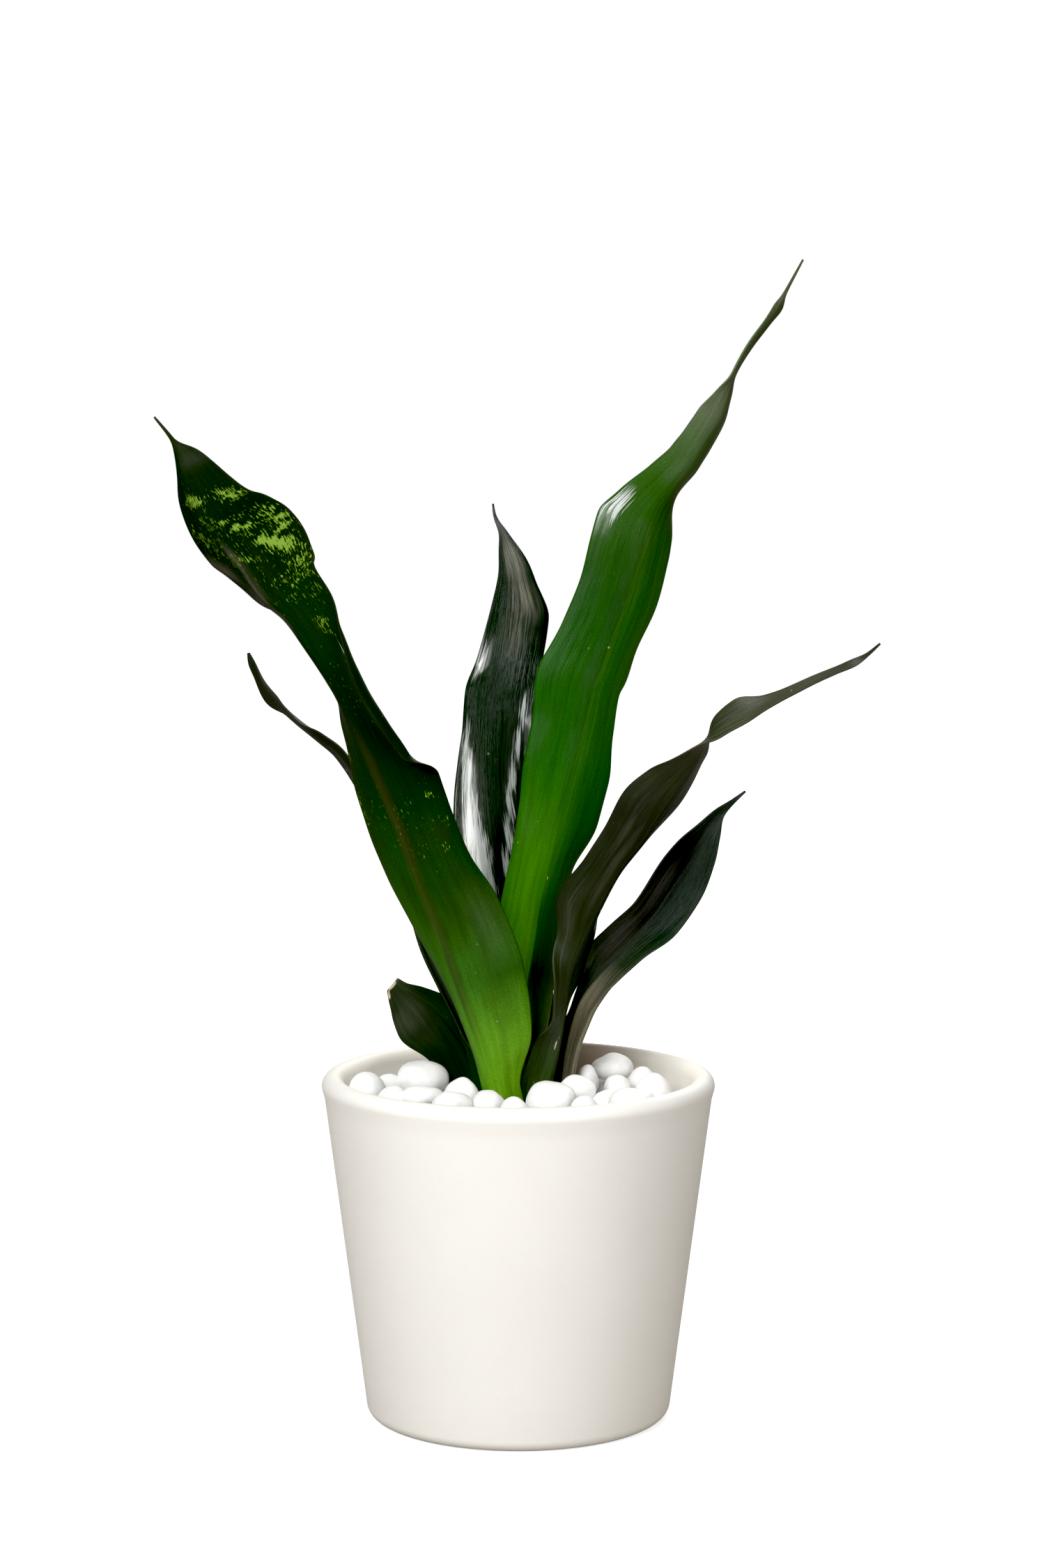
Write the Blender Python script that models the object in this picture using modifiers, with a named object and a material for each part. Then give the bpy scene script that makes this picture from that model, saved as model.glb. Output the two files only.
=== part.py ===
# Potted snake plant: a turned pot, soil, a rhizome, seven leaves and a bed of white stones.
# The origin is on the pot's axis at the floor, +Z up, and the plant's front looks along -Y.

import math
import random

import bmesh
import bpy
import numpy
from mathutils import Matrix, Vector, noise
from mathutils.bvhtree import BVHTree

MM = 0.001
GAP = 0.3

# Pot, in millimetres
POT_HEIGHT = 132.0
RIM_RADIUS = 75.0
LIP_RADIUS = 4.3
LIP_STAND_OUT = 0.8
SHOULDER = POT_HEIGHT - 1.5 * LIP_RADIUS
FOOT_RADIUS = 57.7
FOOT_ROUNDING = 5.0
WALL = 6.8
FLOOR_THICKNESS = 7.0
INNER_ROUNDING = 8.0
POT_STEPS = 56

# Soil and the rhizome that stands in it
SOIL_TOP = 110.0
RHIZOME_CENTRE = (-1.0, 1.0)
RHIZOME_RADII = (32.0, 25.0, 26.0)
RHIZOME_CLEARANCE = 0.4

# Leaves: the section of a blade is a thick midrib with two flanks that bend as they run outwards
FLANK_PARTS = 4
MIDRIB_THICKNESS = 3.0
MARGIN_THICKNESS = 0.8
TIP_THICKNESS = 0.9
FULL_WIDTH = 16.0
THINNING = 0.4
BEND_GROWTH = 2.0
TOWARDS_VIEWER = Vector((0.0, -1.0, 0.0))

# Each row is one station of a leaf, from its foot to its tip:
# midrib x, y, z, left and right flank widths (mm),
# then the left flank's bend at the midrib and at the margin, and the right flank's (degrees).
# A bend of 0 lies across the view, 90 points at the viewer and -90 points away.
LEAVES = {
    "leaf_front_left": {
        "colour": (0.035, 0.125, 0.016),
        "stations": [
            (-4.5, -16, 110.3, 9, 10, -50, -80, -10, -45),
            (-8, -18.5, 126.5, 9, 10, -50, -80, -10, -45),
            (-13, -20.5, 143, 7, 20, -52, -75, 0, -35),
            (-19, -22, 159.5, 6.5, 25, -52, -68, 0, -32),
            (-24, -24, 173.5, 8.5, 27, -50, -64, 0, -32),
            (-30.5, -25, 192.5, 14.2, 26, -46, -60, 0, -36),
            (-37.5, -28, 211.5, 16.8, 22, -42, -56, 0, -42),
            (-42, -30, 224.5, 17.2, 21.2, -40, -54, 0, -42),
            (-48, -32, 239.5, 16, 19.8, -42, -56, 5, -25),
            (-51, -33, 246.5, 15, 20.5, -44, -58, 3, 60),
            (-54, -34, 253.5, 13, 23.5, -48, -62, 0, 150),
            (-59.2, -36, 266, 11, 22.5, -58, -70, 12, 160),
            (-64.6, -38, 277.5, 13, 21, -84, -92, 15, 165),
            (-70.2, -40, 287, 15, 21.3, -94, -98, 12, 150),
            (-76.6, -42, 297, 16, 21, -97, -78, 0, 120),
            (-84, -44, 307.5, 15, 21, -101, -70, 0, 50),
            (-91, -45, 314, 12, 24, -84, -56, 0, 30),
            (-95.5, -46, 320, 9, 25.5, -62, -50, 0, 20),
            (-100.5, -47, 327.5, 9.7, 27, -38, -40, 0, 18),
            (-104, -47.5, 332, 11, 26.5, -32, -38, 0, 16),
            (-107.5, -48, 336.5, 10.8, 24.5, -30, -38, 0, 16),
            (-112.5, -49, 343.5, 9.5, 20.5, -28, -38, 0, 18),
            (-116.5, -49, 352, 8, 15.5, -28, -38, 0, 18),
            (-120, -49, 360.5, 4.1, 11, -28, -38, 0, 20),
            (-122.5, -48, 367, 2, 6.5, -30, -40, 0, 20),
            (-124.5, -48, 371.5, 0.8, 1, 0, 0, 0, 0),
            (-131.5, -47, 380.5, 0.4, 0.4, 0, 0, 0, 0),
        ],
    },
    "leaf_tall_centre": {
        "colour": (0.055, 0.235, 0.014),
        "stations": [
            (2, 2, 110.3, 8, 7, -10, -10, -60, -60),
            (2, 2, 126, 10, 9, -10, -15, -60, -65),
            (2, 3, 158, 14, 9, -10, -20, -68, -74),
            (4.5, 4, 174, 17, 10, -5, -20, -62, -68),
            (7, 5, 191, 15, 9.5, 0, -20, -52, -58),
            (11, 6, 210, 15, 12.5, 0, -20, -42, -50),
            (16, 8, 230, 16.5, 18, 0, -18, -32, -40),
            (20, 9, 245.5, 19, 18, 0, -18, -31, -40),
            (24.5, 11, 263, 20, 15, 0, -18, -35, -44),
            (28.5, 12, 279, 22.5, 13.5, 0, -16, -36, -46),
            (31, 13, 285.5, 21.5, 14.5, 0, -16, -37, -46),
            (35, 14, 296, 20, 13.8, 0, -16, -38, -46),
            (41.5, 15, 313, 19.5, 15, 0, -16, -36, -44),
            (47, 16, 330.5, 20.5, 13.8, 0, -14, -36, -44),
            (50, 17.5, 339, 21, 12.5, 0, -12, -38, -46),
            (52.5, 20, 345, 17, 11.5, 0, -10, -44, -50),
            (59.5, 25, 355.5, 12, 6.5, 0, -10, -62, -68),
            (65.5, 27, 362.5, 10.5, 6.5, 0, -10, -60, -66),
            (68.5, 28.5, 367, 10, 5.5, 0, -10, -55, -60),
            (71, 29.5, 371.5, 9, 5.5, 0, -10, -50, -55),
            (76.5, 31, 380.5, 8.5, 4.5, 0, -10, -50, -55),
            (80, 31.5, 389.5, 5, 3, 20, 10, -55, -58),
            (82.5, 32, 397, 3, 3, 70, 75, -75, -75),
            (88.5, 32, 408, 2, 2.5, 60, 60, -60, -60),
            (95.5, 32.5, 417.5, 1.5, 2, 40, 40, -40, -40),
            (99.5, 32.5, 423, 2, 2.5, 20, 20, -40, -40),
            (101.5, 32.5, 427, 0.8, 0.8, 0, 0, 0, 0),
            (109, 33, 441, 0.4, 0.4, 0, 0, 0, 0),
        ],
    },
    "leaf_back_centre": {
        "colour": (0.012, 0.062, 0.014),
        "stations": [
            (3, 16, 110.3, 7, 7, 5, 15, 5, 15),
            (2.5, 17, 123.5, 9, 9, 5, 15, 5, 15),
            (0, 20, 153, 14, 14, 6, 25, 4, 20),
            (-4, 24, 185, 17, 16.8, 5, 30, 3, 26),
            (-7.5, 28, 214.5, 18, 17.7, 4, 31, 3, 28),
            (-10.5, 31, 238.5, 15, 16.6, 4, 31, 3, 27),
            (-10.8, 32, 250, 13, 16.7, 4, 26, 3, 24),
            (-10.5, 33, 262.5, 11.2, 16.9, 2, 8, 2, 16),
            (-9.5, 34.5, 274, 11.4, 16.8, 2, 10, 2, 10),
            (-8, 36, 286.5, 8.7, 17.2, 8, 30, 0, 4),
            (-5.5, 42, 305.5, 5.9, 17.8, 14, 34, -2, -10),
            (-4.5, 47, 319, 3.8, 11, 20, 36, 0, -10),
            (-6, 51, 329.5, 1.8, 6.5, 20, 30, 0, 0),
            (-7, 54, 336.5, 0.8, 2.5, 0, 0, 0, 0),
            (-8.5, 55.5, 340.5, 0.8, 1, 0, 0, 0, 0),
            (-9.5, 57, 343.5, 0.6, 0.6, 0, 0, 0, 0),
            (-10, 58.5, 347.5, 0.4, 0.4, 0, 0, 0, 0),
        ],
    },
    "leaf_long_right": {
        "colour": (0.034, 0.052, 0.016),
        "stations": [
            (10, -5, 110.3, 8, 8, 10, 20, -100, -130),
            (11, -5, 126, 11.5, 9, 10, 25, -100, -130),
            (14, -6, 142, 10, 10, 15, 30, -94, -125),
            (16.5, -8, 156, 10, 11, 60, 90, -85, -110),
            (18, -10, 168, 10, 12, 55, 85, -68, -90),
            (23, -12, 183, 9.5, 13, 0, 20, -65, -80),
            (29, -15, 196.5, 16, 14, 0, -15, -88, -92),
            (36.5, -19, 211.5, 13, 15, 0, -15, -86, -90),
            (44, -22, 222, 14, 15, 0, -15, -80, -82),
            (51.5, -25, 233.5, 15.5, 15, 0, -15, -70, -74),
            (58.5, -28, 244, 12.5, 11, 0, -10, -66, -66),
            (63.5, -31, 252, 8.5, 8.5, 20, 20, -68, -68),
            (66.5, -33, 257.5, 7, 7, 50, 50, -62, -62),
            (68.5, -34, 261, 6, 6, 74, 74, -76, -76),
            (74.5, -36, 266.5, 4, 6.5, 125, 125, -140, -140),
            (83, -39, 271.5, 3.5, 7.5, 130, 130, -165, -165),
            (90.5, -42, 276, 3, 4, 120, 120, -145, -145),
            (98, -44, 280, 3, 3, 110, 110, -130, -130),
            (107, -47, 285, 2.4, 2.4, 120, 120, -120, -120),
            (115.5, -50, 289, 2, 2, 120, 120, -120, -120),
            (122, -52, 292, 1.6, 1.6, 150, 150, -150, -150),
            (126, -53, 294.5, 0.8, 0.8, 180, 180, -180, -180),
            (131, -54, 299, 0.4, 0.4, 180, 180, -180, -180),
        ],
    },
    "leaf_low_right": {
        "colour": (0.012, 0.05, 0.016),
        "stations": [
            (15.5, 4, 110.3, 7, 6, -50, -60, 30, 120),
            (17, 4, 125.5, 7, 6.5, -50, -60, 20, 150),
            (19, 4, 140.5, 8, 8, -45, -60, 20, 160),
            (22.5, 3, 155.5, 4.5, 10, -60, -70, 0, 165),
            (28, 3, 165.5, 5, 10.5, -20, -40, 10, 150),
            (34, 4, 171.5, 11, 9, -5, 10, 50, 65),
            (41.5, 5, 179.5, 13, 10, 25, 40, 50, 60),
            (51.5, 7, 191, 15, 12.5, 48, 55, 28, 45),
            (60, 9, 203, 15, 12, 45, 52, 20, 35),
            (68, 11, 214.5, 11.5, 9, 35, 45, 30, 40),
            (73.5, 12, 223.5, 6, 5, 25, 35, 35, 45),
            (78, 13, 230, 3.2, 1.2, 20, 20, 20, 20),
            (82, 13, 234.5, 1, 1, 0, 0, 0, 0),
            (87, 14, 238.5, 0.4, 0.4, 0, 0, 0, 0),
        ],
    },
    "leaf_thin_left": {
        "colour": (0.022, 0.055, 0.022),
        "stations": [
            (-12.5, 1, 110.3, 6, 6, -110, -130, 50, 75),
            (-15.5, 1.5, 125, 6.5, 7, -110, -130, 50, 75),
            (-18, 2, 137, 7, 7, -105, -125, 60, 82),
            (-21.5, 2.5, 147.5, 7, 7.5, -100, -115, 85, 95),
            (-29, 3, 163.5, 8, 9, -95, -105, 88, 92),
            (-36.5, 4, 179.5, 9, 9, -90, -100, 86, 90),
            (-43, 6, 202, 10, 10, -85, -90, 80, 85),
            (-53.5, 8, 227, 10, 10, -80, -80, 75, 78),
            (-68.5, 10, 253, 9, 9.5, -75, -75, 70, 70),
            (-75.5, 11, 259, 8.5, 7, -74, -74, 70, 70),
            (-82.5, 12, 264, 8, 8, -76, -76, 86, 86),
            (-89, 13, 269.5, 6.5, 7.5, -76, -76, 80, 80),
            (-93.5, 14, 274, 8, 6.5, -60, -60, 72, 72),
            (-97.5, 14, 279.5, 5.5, 4.5, -60, -60, 74, 74),
            (-100, 15, 284, 2.6, 2.2, -50, -50, 60, 60),
            (-102, 15, 288, 1.4, 1.4, -20, -20, 20, 20),
            (-103, 15, 291.5, 0.5, 0.5, 0, 0, 0, 0),
        ],
    },
    "leaf_short_left": {
        "colour": (0.02, 0.055, 0.025),
        "stations": [
            (-16.5, 14, 110.3, 8, 8, -5, -10, -5, -10),
            (-17.5, 14, 121.5, 11, 10, -5, -10, -5, -10),
            (-24, 13.5, 137, 10.5, 14, -5, -10, -5, -10),
            (-33, 13, 151, 15.5, 10.5, -5, -10, -5, -10),
            (-40.5, 12, 159, 12, 5.5, -5, -10, -5, -10),
            (-45, 11, 162.5, 7.5, 3, 0, 0, 0, 0),
            (-48, 11, 165, 4, 2.5, 0, 0, 0, 0),
        ],
    },
}

# Stones: the ones that show at the front and sides are placed one by one, as
# centre x, y, then half length and half width, the height of the stone's top (mm), and its turn (degrees)
FRONT_STONES = [
    (-57, -12, 6.0, 7.0, 133.8, 20),
    (-50.3, 1, 5.0, 6.2, 130.5, 0),
    (-36.4, 2, 9.0, 7.8, 135.0, 15),
    (-47.3, -31, 5.2, 6.2, 132.3, 10),
    (-35.2, -32, 7.0, 6.3, 132.6, -15),
    (-20.6, -23, 6.5, 6.0, 136.2, 30),
    (-24, -45.5, 6.7, 5.5, 132.6, 10),
    (-10.6, -40, 6.4, 5.8, 132.8, -10),
    (-1, -53, 4.8, 4.8, 132.7, 0),
    (12.8, -34, 8.8, 7.4, 134.2, 10),
    (22.4, -17.5, 6.7, 5.6, 133.6, -20),
    (25, -43, 6.6, 6.0, 131.8, -20),
    (26.3, 8, 3.9, 4.6, 133.8, 0),
    (36.2, 18.5, 8.0, 7.2, 135.3, 25),
    (38.2, -3, 4.9, 5.2, 131.9, 0),
    (47.5, 7, 4.5, 4.8, 131.3, 40),
    (51, -8, 6.7, 6.3, 133.6, 10),
    (42.6, -29, 8.0, 6.8, 131.8, -25),
]
STONE_HALF_HEIGHTS = (4.0, 8.0)
STONE_HEIGHT_TRIES = 24
STONE_USUAL_HALF = 5.8
STONE_SHORTFALL = 2.0
SUPPORT_SHARE = 0.85
# The bed under them is laid in rings: radius, number, half length and half width
BED_RINGS = [(55.5, 14, 11.0, 8.2), (38.0, 10, 10.5, 8.0), (24.0, 8, 7.0, 6.0)]
BED_HEIGHTS = (5.0, 5.8)
BED_SIZES = (1.0, 0.8, 0.64)
BED_JITTER = 0.35
BED_SEED = 7
STONE_LUMPS = 0.16
LUMP_SIZE = 0.9
MAP_CELL = 0.5
WALL_SAFETY = 0.4
LEAF_SAFETY = 1.2


def material(name, colour, roughness, metallic=0.0):
    made = bpy.data.materials.new(name)
    made.use_nodes = True
    shader = made.node_tree.nodes["Principled BSDF"]
    shader.inputs["Base Color"].default_value = (*colour, 1.0)
    shader.inputs["Roughness"].default_value = roughness
    shader.inputs["Metallic"].default_value = metallic
    made.diffuse_color = (*colour, 1.0)
    return made


def collection(name):
    made = bpy.data.collections.new(name)
    bpy.context.scene.collection.children.link(made)
    return made


def add_object(name, mesh, group, finish=None):
    made = bpy.data.objects.new(name, mesh)
    group.objects.link(made)
    if finish:
        mesh.materials.append(finish)
    return made


def shade_round(mesh, angle=40.0):
    mesh.shade_smooth()
    mesh.set_sharp_from_angle(angle=math.radians(angle))


def arc(centre, radius, start, end, steps):
    points = []
    for step in range(steps + 1):
        angle = math.radians(start + (end - start) * step / steps)
        points.append((centre[0] + radius * math.cos(angle), centre[1] + radius * math.sin(angle)))
    return points


def turned(name, profile, group, finish, steps):
    """A closed solid of revolution about Z from a profile of (radius, height) in millimetres."""
    mesh = bpy.data.meshes.new(name)
    points = [(radius * MM, 0.0, height * MM) for radius, height in profile]
    mesh.from_pydata(points, [(i, i + 1) for i in range(len(points) - 1)], [])
    made = add_object(name, mesh, group, finish)
    screw = made.modifiers.new("turn", "SCREW")
    screw.steps = steps
    screw.render_steps = steps
    screw.use_merge_vertices = True
    screw.merge_threshold = 0.00005
    screw.use_smooth_shade = True
    return made


def outer_radius(height):
    """Radius of the pot's outer wall under the lip."""
    return FOOT_RADIUS + (RIM_RADIUS - LIP_STAND_OUT - FOOT_RADIUS) * height / SHOULDER


def inner_radius(height):
    return outer_radius(height) - WALL


def build_pot(group):
    lip_centre = (RIM_RADIUS - LIP_RADIUS, POT_HEIGHT - LIP_RADIUS)
    inner_corner = FLOOR_THICKNESS + INNER_ROUNDING
    profile = [(0.0, FLOOR_THICKNESS)]
    corner_centre = (inner_radius(inner_corner) - INNER_ROUNDING, inner_corner)
    profile += arc(corner_centre, INNER_ROUNDING, -90.0, -5.0, 3)
    profile.append((inner_radius(SHOULDER - LIP_RADIUS), SHOULDER - LIP_RADIUS))
    profile += arc(lip_centre, LIP_RADIUS, 180.0, -12.0, 8)
    profile.append((outer_radius(SHOULDER), SHOULDER))
    foot_centre = (outer_radius(FOOT_ROUNDING) - FOOT_ROUNDING, FOOT_ROUNDING)
    profile += arc(foot_centre, FOOT_ROUNDING, -5.0, -90.0, 4)
    profile.append((0.0, 0.0))
    glaze = material("pot_glaze", (0.80, 0.77, 0.70), 0.55)
    return turned("pot", profile, group, glaze, POT_STEPS)


def rhizome_mesh(name, swell, flat_top):
    """The squashed half ball of the rhizome, or the whole ball a little larger to cut its pocket."""
    shape = bmesh.new()
    bmesh.ops.create_uvsphere(shape, u_segments=24, v_segments=14, radius=1.0)
    radii = [(radius + swell) * MM for radius in RHIZOME_RADII]
    bmesh.ops.transform(shape, verts=shape.verts, matrix=Matrix.Diagonal((*radii, 1.0)))
    if flat_top:
        everything = shape.verts[:] + shape.edges[:] + shape.faces[:]
        bmesh.ops.bisect_plane(shape, geom=everything, plane_co=(0, 0, 0), plane_no=(0, 0, 1),
                               clear_outer=True)
        rim = [edge for edge in shape.edges if edge.is_boundary]
        bmesh.ops.edgeloop_fill(shape, edges=rim)
    place = Vector((RHIZOME_CENTRE[0], RHIZOME_CENTRE[1], SOIL_TOP)) * MM
    bmesh.ops.translate(shape, verts=shape.verts, vec=place)
    bmesh.ops.recalc_face_normals(shape, faces=shape.faces)
    mesh = bpy.data.meshes.new(name)
    shape.to_mesh(mesh)
    shape.free()
    return mesh


def build_rhizome(group):
    mesh = rhizome_mesh("rhizome", 0.0, True)
    shade_round(mesh)
    return add_object("rhizome", mesh, group, material("rhizome_skin", (0.55, 0.42, 0.26), 0.7))


def build_soil(group, cutters):
    floor = FLOOR_THICKNESS + GAP
    inner_corner = FLOOR_THICKNESS + INNER_ROUNDING
    corner_centre = (inner_radius(inner_corner) - INNER_ROUNDING, inner_corner)
    profile = [(0.0, SOIL_TOP), (inner_radius(SOIL_TOP) - GAP, SOIL_TOP)]
    profile += arc(corner_centre, INNER_ROUNDING - GAP, -5.0, -90.0, 3)
    profile.append((0.0, floor))
    soil = turned("soil", profile, group, material("soil_mix", (0.045, 0.03, 0.02), 0.95), POT_STEPS)
    pocket = add_object("rhizome_pocket", rhizome_mesh("rhizome_pocket", RHIZOME_CLEARANCE, False), cutters)
    pocket.display_type = "WIRE"
    pocket.hide_render = True
    cut = soil.modifiers.new("pocket", "BOOLEAN")
    cut.operation = "DIFFERENCE"
    cut.solver = "EXACT"
    cut.object = pocket
    return soil


def flank(width, root_bend, margin_bend):
    """Points along one flank: distance across, distance towards the viewer, and the bend there."""
    across = forward = 0.0
    points = []
    for part in range(FLANK_PARTS):
        middle = ((part + 0.5) / FLANK_PARTS) ** BEND_GROWTH
        bend = math.radians(root_bend + (margin_bend - root_bend) * middle)
        across += math.cos(bend) * width / FLANK_PARTS
        forward += math.sin(bend) * width / FLANK_PARTS
        reached = ((part + 1.0) / FLANK_PARTS) ** BEND_GROWTH
        points.append((across, forward, math.radians(root_bend + (margin_bend - root_bend) * reached)))
    return points


def section(station, tangent, thickness):
    """The closed ring of a blade at one station: its front face, then its back face."""
    x, y, z, left_width, right_width, left_root, left_margin, right_root, right_margin = station
    centre = Vector((x, y, z))
    across = tangent.cross(TOWARDS_VIEWER).normalized()
    forward = across.cross(tangent).normalized()
    lean = math.radians((right_root - left_root) / 2.0)
    middle = (centre, forward * math.cos(lean) - across * math.sin(lean), 0)
    left = []
    for part, (out, ahead, bend) in enumerate(flank(left_width, left_root, left_margin), start=1):
        place = centre - across * out + forward * ahead
        left.append((place, forward * math.cos(bend) + across * math.sin(bend), part))
    right = []
    for part, (out, ahead, bend) in enumerate(flank(right_width, right_root, right_margin), start=1):
        place = centre + across * out + forward * ahead
        right.append((place, forward * math.cos(bend) - across * math.sin(bend), part))
    front, back = [], []
    for place, normal, part in [*left[::-1], middle, *right]:
        share = part / FLANK_PARTS
        half = 0.5 * (thickness + (min(thickness, MARGIN_THICKNESS) - thickness) * share ** 2)
        front.append(place + normal * half)
        back.append(place - normal * half)
    return front + back[::-1]


def build_leaf(name, leaf, group):
    stations = leaf["stations"]
    rings = []
    last = len(stations) - 1
    for index, station in enumerate(stations):
        before = Vector(stations[max(index - 1, 0)][:3])
        after = Vector(stations[min(index + 1, last)][:3])
        tangent = (after - before).normalized() if index else Vector((0.0, 0.0, 1.0))
        narrow = min(1.0, (station[3] + station[4]) / FULL_WIDTH)
        spare = (MIDRIB_THICKNESS - TIP_THICKNESS) * narrow * (1.0 - THINNING * index / last)
        thickness = TIP_THICKNESS + spare
        rings.append(section(station, tangent, thickness))
    shape = bmesh.new()
    made = [[shape.verts.new(point * MM) for point in ring] for ring in rings]
    count = len(rings[0])
    for lower, upper in zip(made, made[1:]):
        for corner in range(count):
            following = (corner + 1) % count
            shape.faces.new((lower[corner], lower[following], upper[following], upper[corner]))
    for ring in (made[0], made[-1]):
        for corner in range(count // 2 - 1):
            opposite = count - 1 - corner
            shape.faces.new((ring[corner], ring[corner + 1], ring[opposite - 1], ring[opposite]))
    bmesh.ops.recalc_face_normals(shape, faces=shape.faces)
    mesh = bpy.data.meshes.new(name)
    shape.to_mesh(mesh)
    shape.free()
    shade_round(mesh, 60.0)
    return add_object(name, mesh, group, material(name + "_green", leaf["colour"], 0.35)), rings


def stone_shape(length, width, turn, seed):
    """A lumpy ball, one unit high to either side of its middle, stretched and turned in plan."""
    shape = bmesh.new()
    bmesh.ops.create_icosphere(shape, subdivisions=2, radius=1.0)
    for vert in shape.verts:
        lump = noise.noise(vert.co * LUMP_SIZE + Vector((seed * 3.7, seed * 1.9, 0.0)))
        vert.co *= 1.0 + STONE_LUMPS * lump
    stretch = Matrix.Rotation(turn, 4, "Z") @ Matrix.Diagonal((length, width, 1.0, 1.0))
    bmesh.ops.transform(shape, verts=shape.verts, matrix=stretch)
    return shape


class Stone:
    """One stone over the bed's map: the cells under it, and its underside and top there."""

    def __init__(self, bed, x, y, length, width, turn):
        self.x, self.y = x, y
        self.shape = stone_shape(length, width, turn, bed.laid)
        reach = (1.0 + STONE_LUMPS) * max(length, width)
        self.cells = [index for index, value in enumerate(bed.axis) if abs(value - x) <= reach]
        self.rows = slice(self.cells[0], self.cells[-1] + 1)
        aside = [index for index, value in enumerate(bed.axis) if abs(value - y) <= reach]
        self.columns = slice(aside[0], aside[-1] + 1)
        tree = BVHTree.FromBMesh(self.shape)
        size = (len(self.cells), len(aside))
        self.low, self.high = numpy.zeros(size), numpy.zeros(size)
        self.under = numpy.zeros(size, dtype=bool)
        above, below = Vector((0.0, 0.0, 3.0)), Vector((0.0, 0.0, -3.0))
        for row, i in enumerate(self.cells):
            for column, j in enumerate(aside):
                spot = Vector((bed.axis[i] - x, bed.axis[j] - y, 0.0))
                top = tree.ray_cast(spot + above, below)[0]
                if top is None:
                    continue
                self.under[row, column] = True
                self.high[row, column] = top.z
                self.low[row, column] = tree.ray_cast(spot + below, above)[0].z
        self.has_room = not (self.under & bed.blocked[self.rows, self.columns]).any()
        self.ground = bed.raised()[self.rows, self.columns]

    def rest(self, half):
        """The height of its centre once it lies on what is under it."""
        return float((self.ground - self.low * half)[self.under].max()) + GAP

    def half_for(self, top):
        """The half height that brings its top nearest to the wanted height, and how far it misses."""
        low, high = STONE_HALF_HEIGHTS
        peak = float(self.high.max())
        best = (top, low)
        for step in range(STONE_HEIGHT_TRIES + 1):
            half = low + (high - low) * step / STONE_HEIGHT_TRIES
            short = top - self.rest(half) - peak * half
            if abs(short) < abs(best[0]):
                best = (short, half)
        return best[1], best[0]


class StoneBed:
    """Heights already taken above the soil, on a square grid over the pot's mouth."""

    def __init__(self, group, finish):
        self.group, self.finish = group, finish
        reach = inner_radius(POT_HEIGHT)
        self.axis = numpy.arange(-reach, reach, MAP_CELL)
        self.x, self.y = numpy.meshgrid(self.axis, self.axis, indexing="ij")
        self.top = numpy.full(self.x.shape, SOIL_TOP)
        self.blocked = numpy.hypot(self.x, self.y) > inner_radius(SOIL_TOP) - WALL_SAFETY
        self.laid = 0

    def block_leaf(self, rings, below):
        """Keeps the stones clear of a leaf where it passes through them."""
        for lower, upper in zip(rings, rings[1:]):
            for step in range(12):
                share = step / 12.0
                points = [a.lerp(b, share) for a, b in zip(lower, upper)]
                if min(point.z for point in points) > below:
                    continue
                half = len(points) // 2
                for side in (points[:half], points[half:]):
                    for start, end in zip(side, side[1:]):
                        for part in range(4):
                            spot = start.lerp(end, part / 4.0)
                            self.blocked |= numpy.hypot(self.x - spot.x, self.y - spot.y) < LEAF_SAFETY

    def raised(self):
        """The map of heights, each cell as high as the highest of the cells around it."""
        padded = numpy.pad(self.top, 1, mode="edge")
        rows, columns = self.top.shape
        highest = self.top
        for i in range(3):
            for j in range(3):
                highest = numpy.maximum(highest, padded[i:i + rows, j:j + columns])
        return highest

    def lay(self, stone, half):
        """Adds a stone where it comes to rest."""
        centre = stone.rest(half)
        block = self.top[stone.rows, stone.columns]
        block[stone.under] = numpy.maximum(block, centre + stone.high * half)[stone.under]
        self.laid += 1
        move = Matrix.Translation(Vector((stone.x, stone.y, centre)) * MM)
        size = Matrix.Diagonal((MM, MM, half * MM, 1.0))
        bmesh.ops.transform(stone.shape, verts=stone.shape.verts, matrix=move @ size)
        name = f"pebble_{self.laid:02d}"
        mesh = bpy.data.meshes.new(name)
        stone.shape.to_mesh(mesh)
        stone.shape.free()
        shade_round(mesh, 80.0)
        add_object(name, mesh, self.group, self.finish)


def build_stones(group, all_rings):
    """Lays the hidden bed of stones first, then the ones that show, each on what is under it."""
    bed = StoneBed(group, material("stone_white", (0.86, 0.86, 0.85), 0.6))
    for rings in all_rings:
        bed.block_leaf(rings, POT_HEIGHT)
    dice = random.Random(BED_SEED)
    for radius, count, half_length, half_width in BED_RINGS:
        for index in range(count):
            angle = 2.0 * math.pi * (index + BED_JITTER * dice.random()) / count
            length, width = half_length * dice.uniform(0.9, 1.05), half_width * dice.uniform(0.9, 1.0)
            half = dice.uniform(*BED_HEIGHTS)
            for size in BED_SIZES:
                stone = Stone(bed, radius * math.cos(angle), radius * math.sin(angle),
                              length * size, width * size, angle + math.pi / 2.0)
                if stone.has_room:
                    bed.lay(stone, half)
                    break
    for x, y, length, width, top, degrees in FRONT_STONES:
        turn = math.radians(degrees)
        stone = Stone(bed, x, y, length, width, turn)
        half, short = stone.half_for(top)
        if short > STONE_SHORTFALL:
            support = Stone(bed, x, y, length * SUPPORT_SHARE, width * SUPPORT_SHARE, turn)
            bed.lay(support, support.half_for(top - 2.0 * STONE_USUAL_HALF)[0])
            stone = Stone(bed, x, y, length, width, turn)
            half = stone.half_for(top)[0]
        if stone.has_room:
            bed.lay(stone, half)


def main():
    for thing in list(bpy.data.objects):
        bpy.data.objects.remove(thing, do_unlink=True)
    parts = collection("potted_snake_plant")
    cutters = collection("cutters")
    build_pot(parts)
    build_rhizome(parts)
    build_soil(parts, cutters)
    all_rings = []
    for name, leaf in LEAVES.items():
        all_rings.append(build_leaf(name, leaf, parts)[1])
    build_stones(parts, all_rings)


main()
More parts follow.
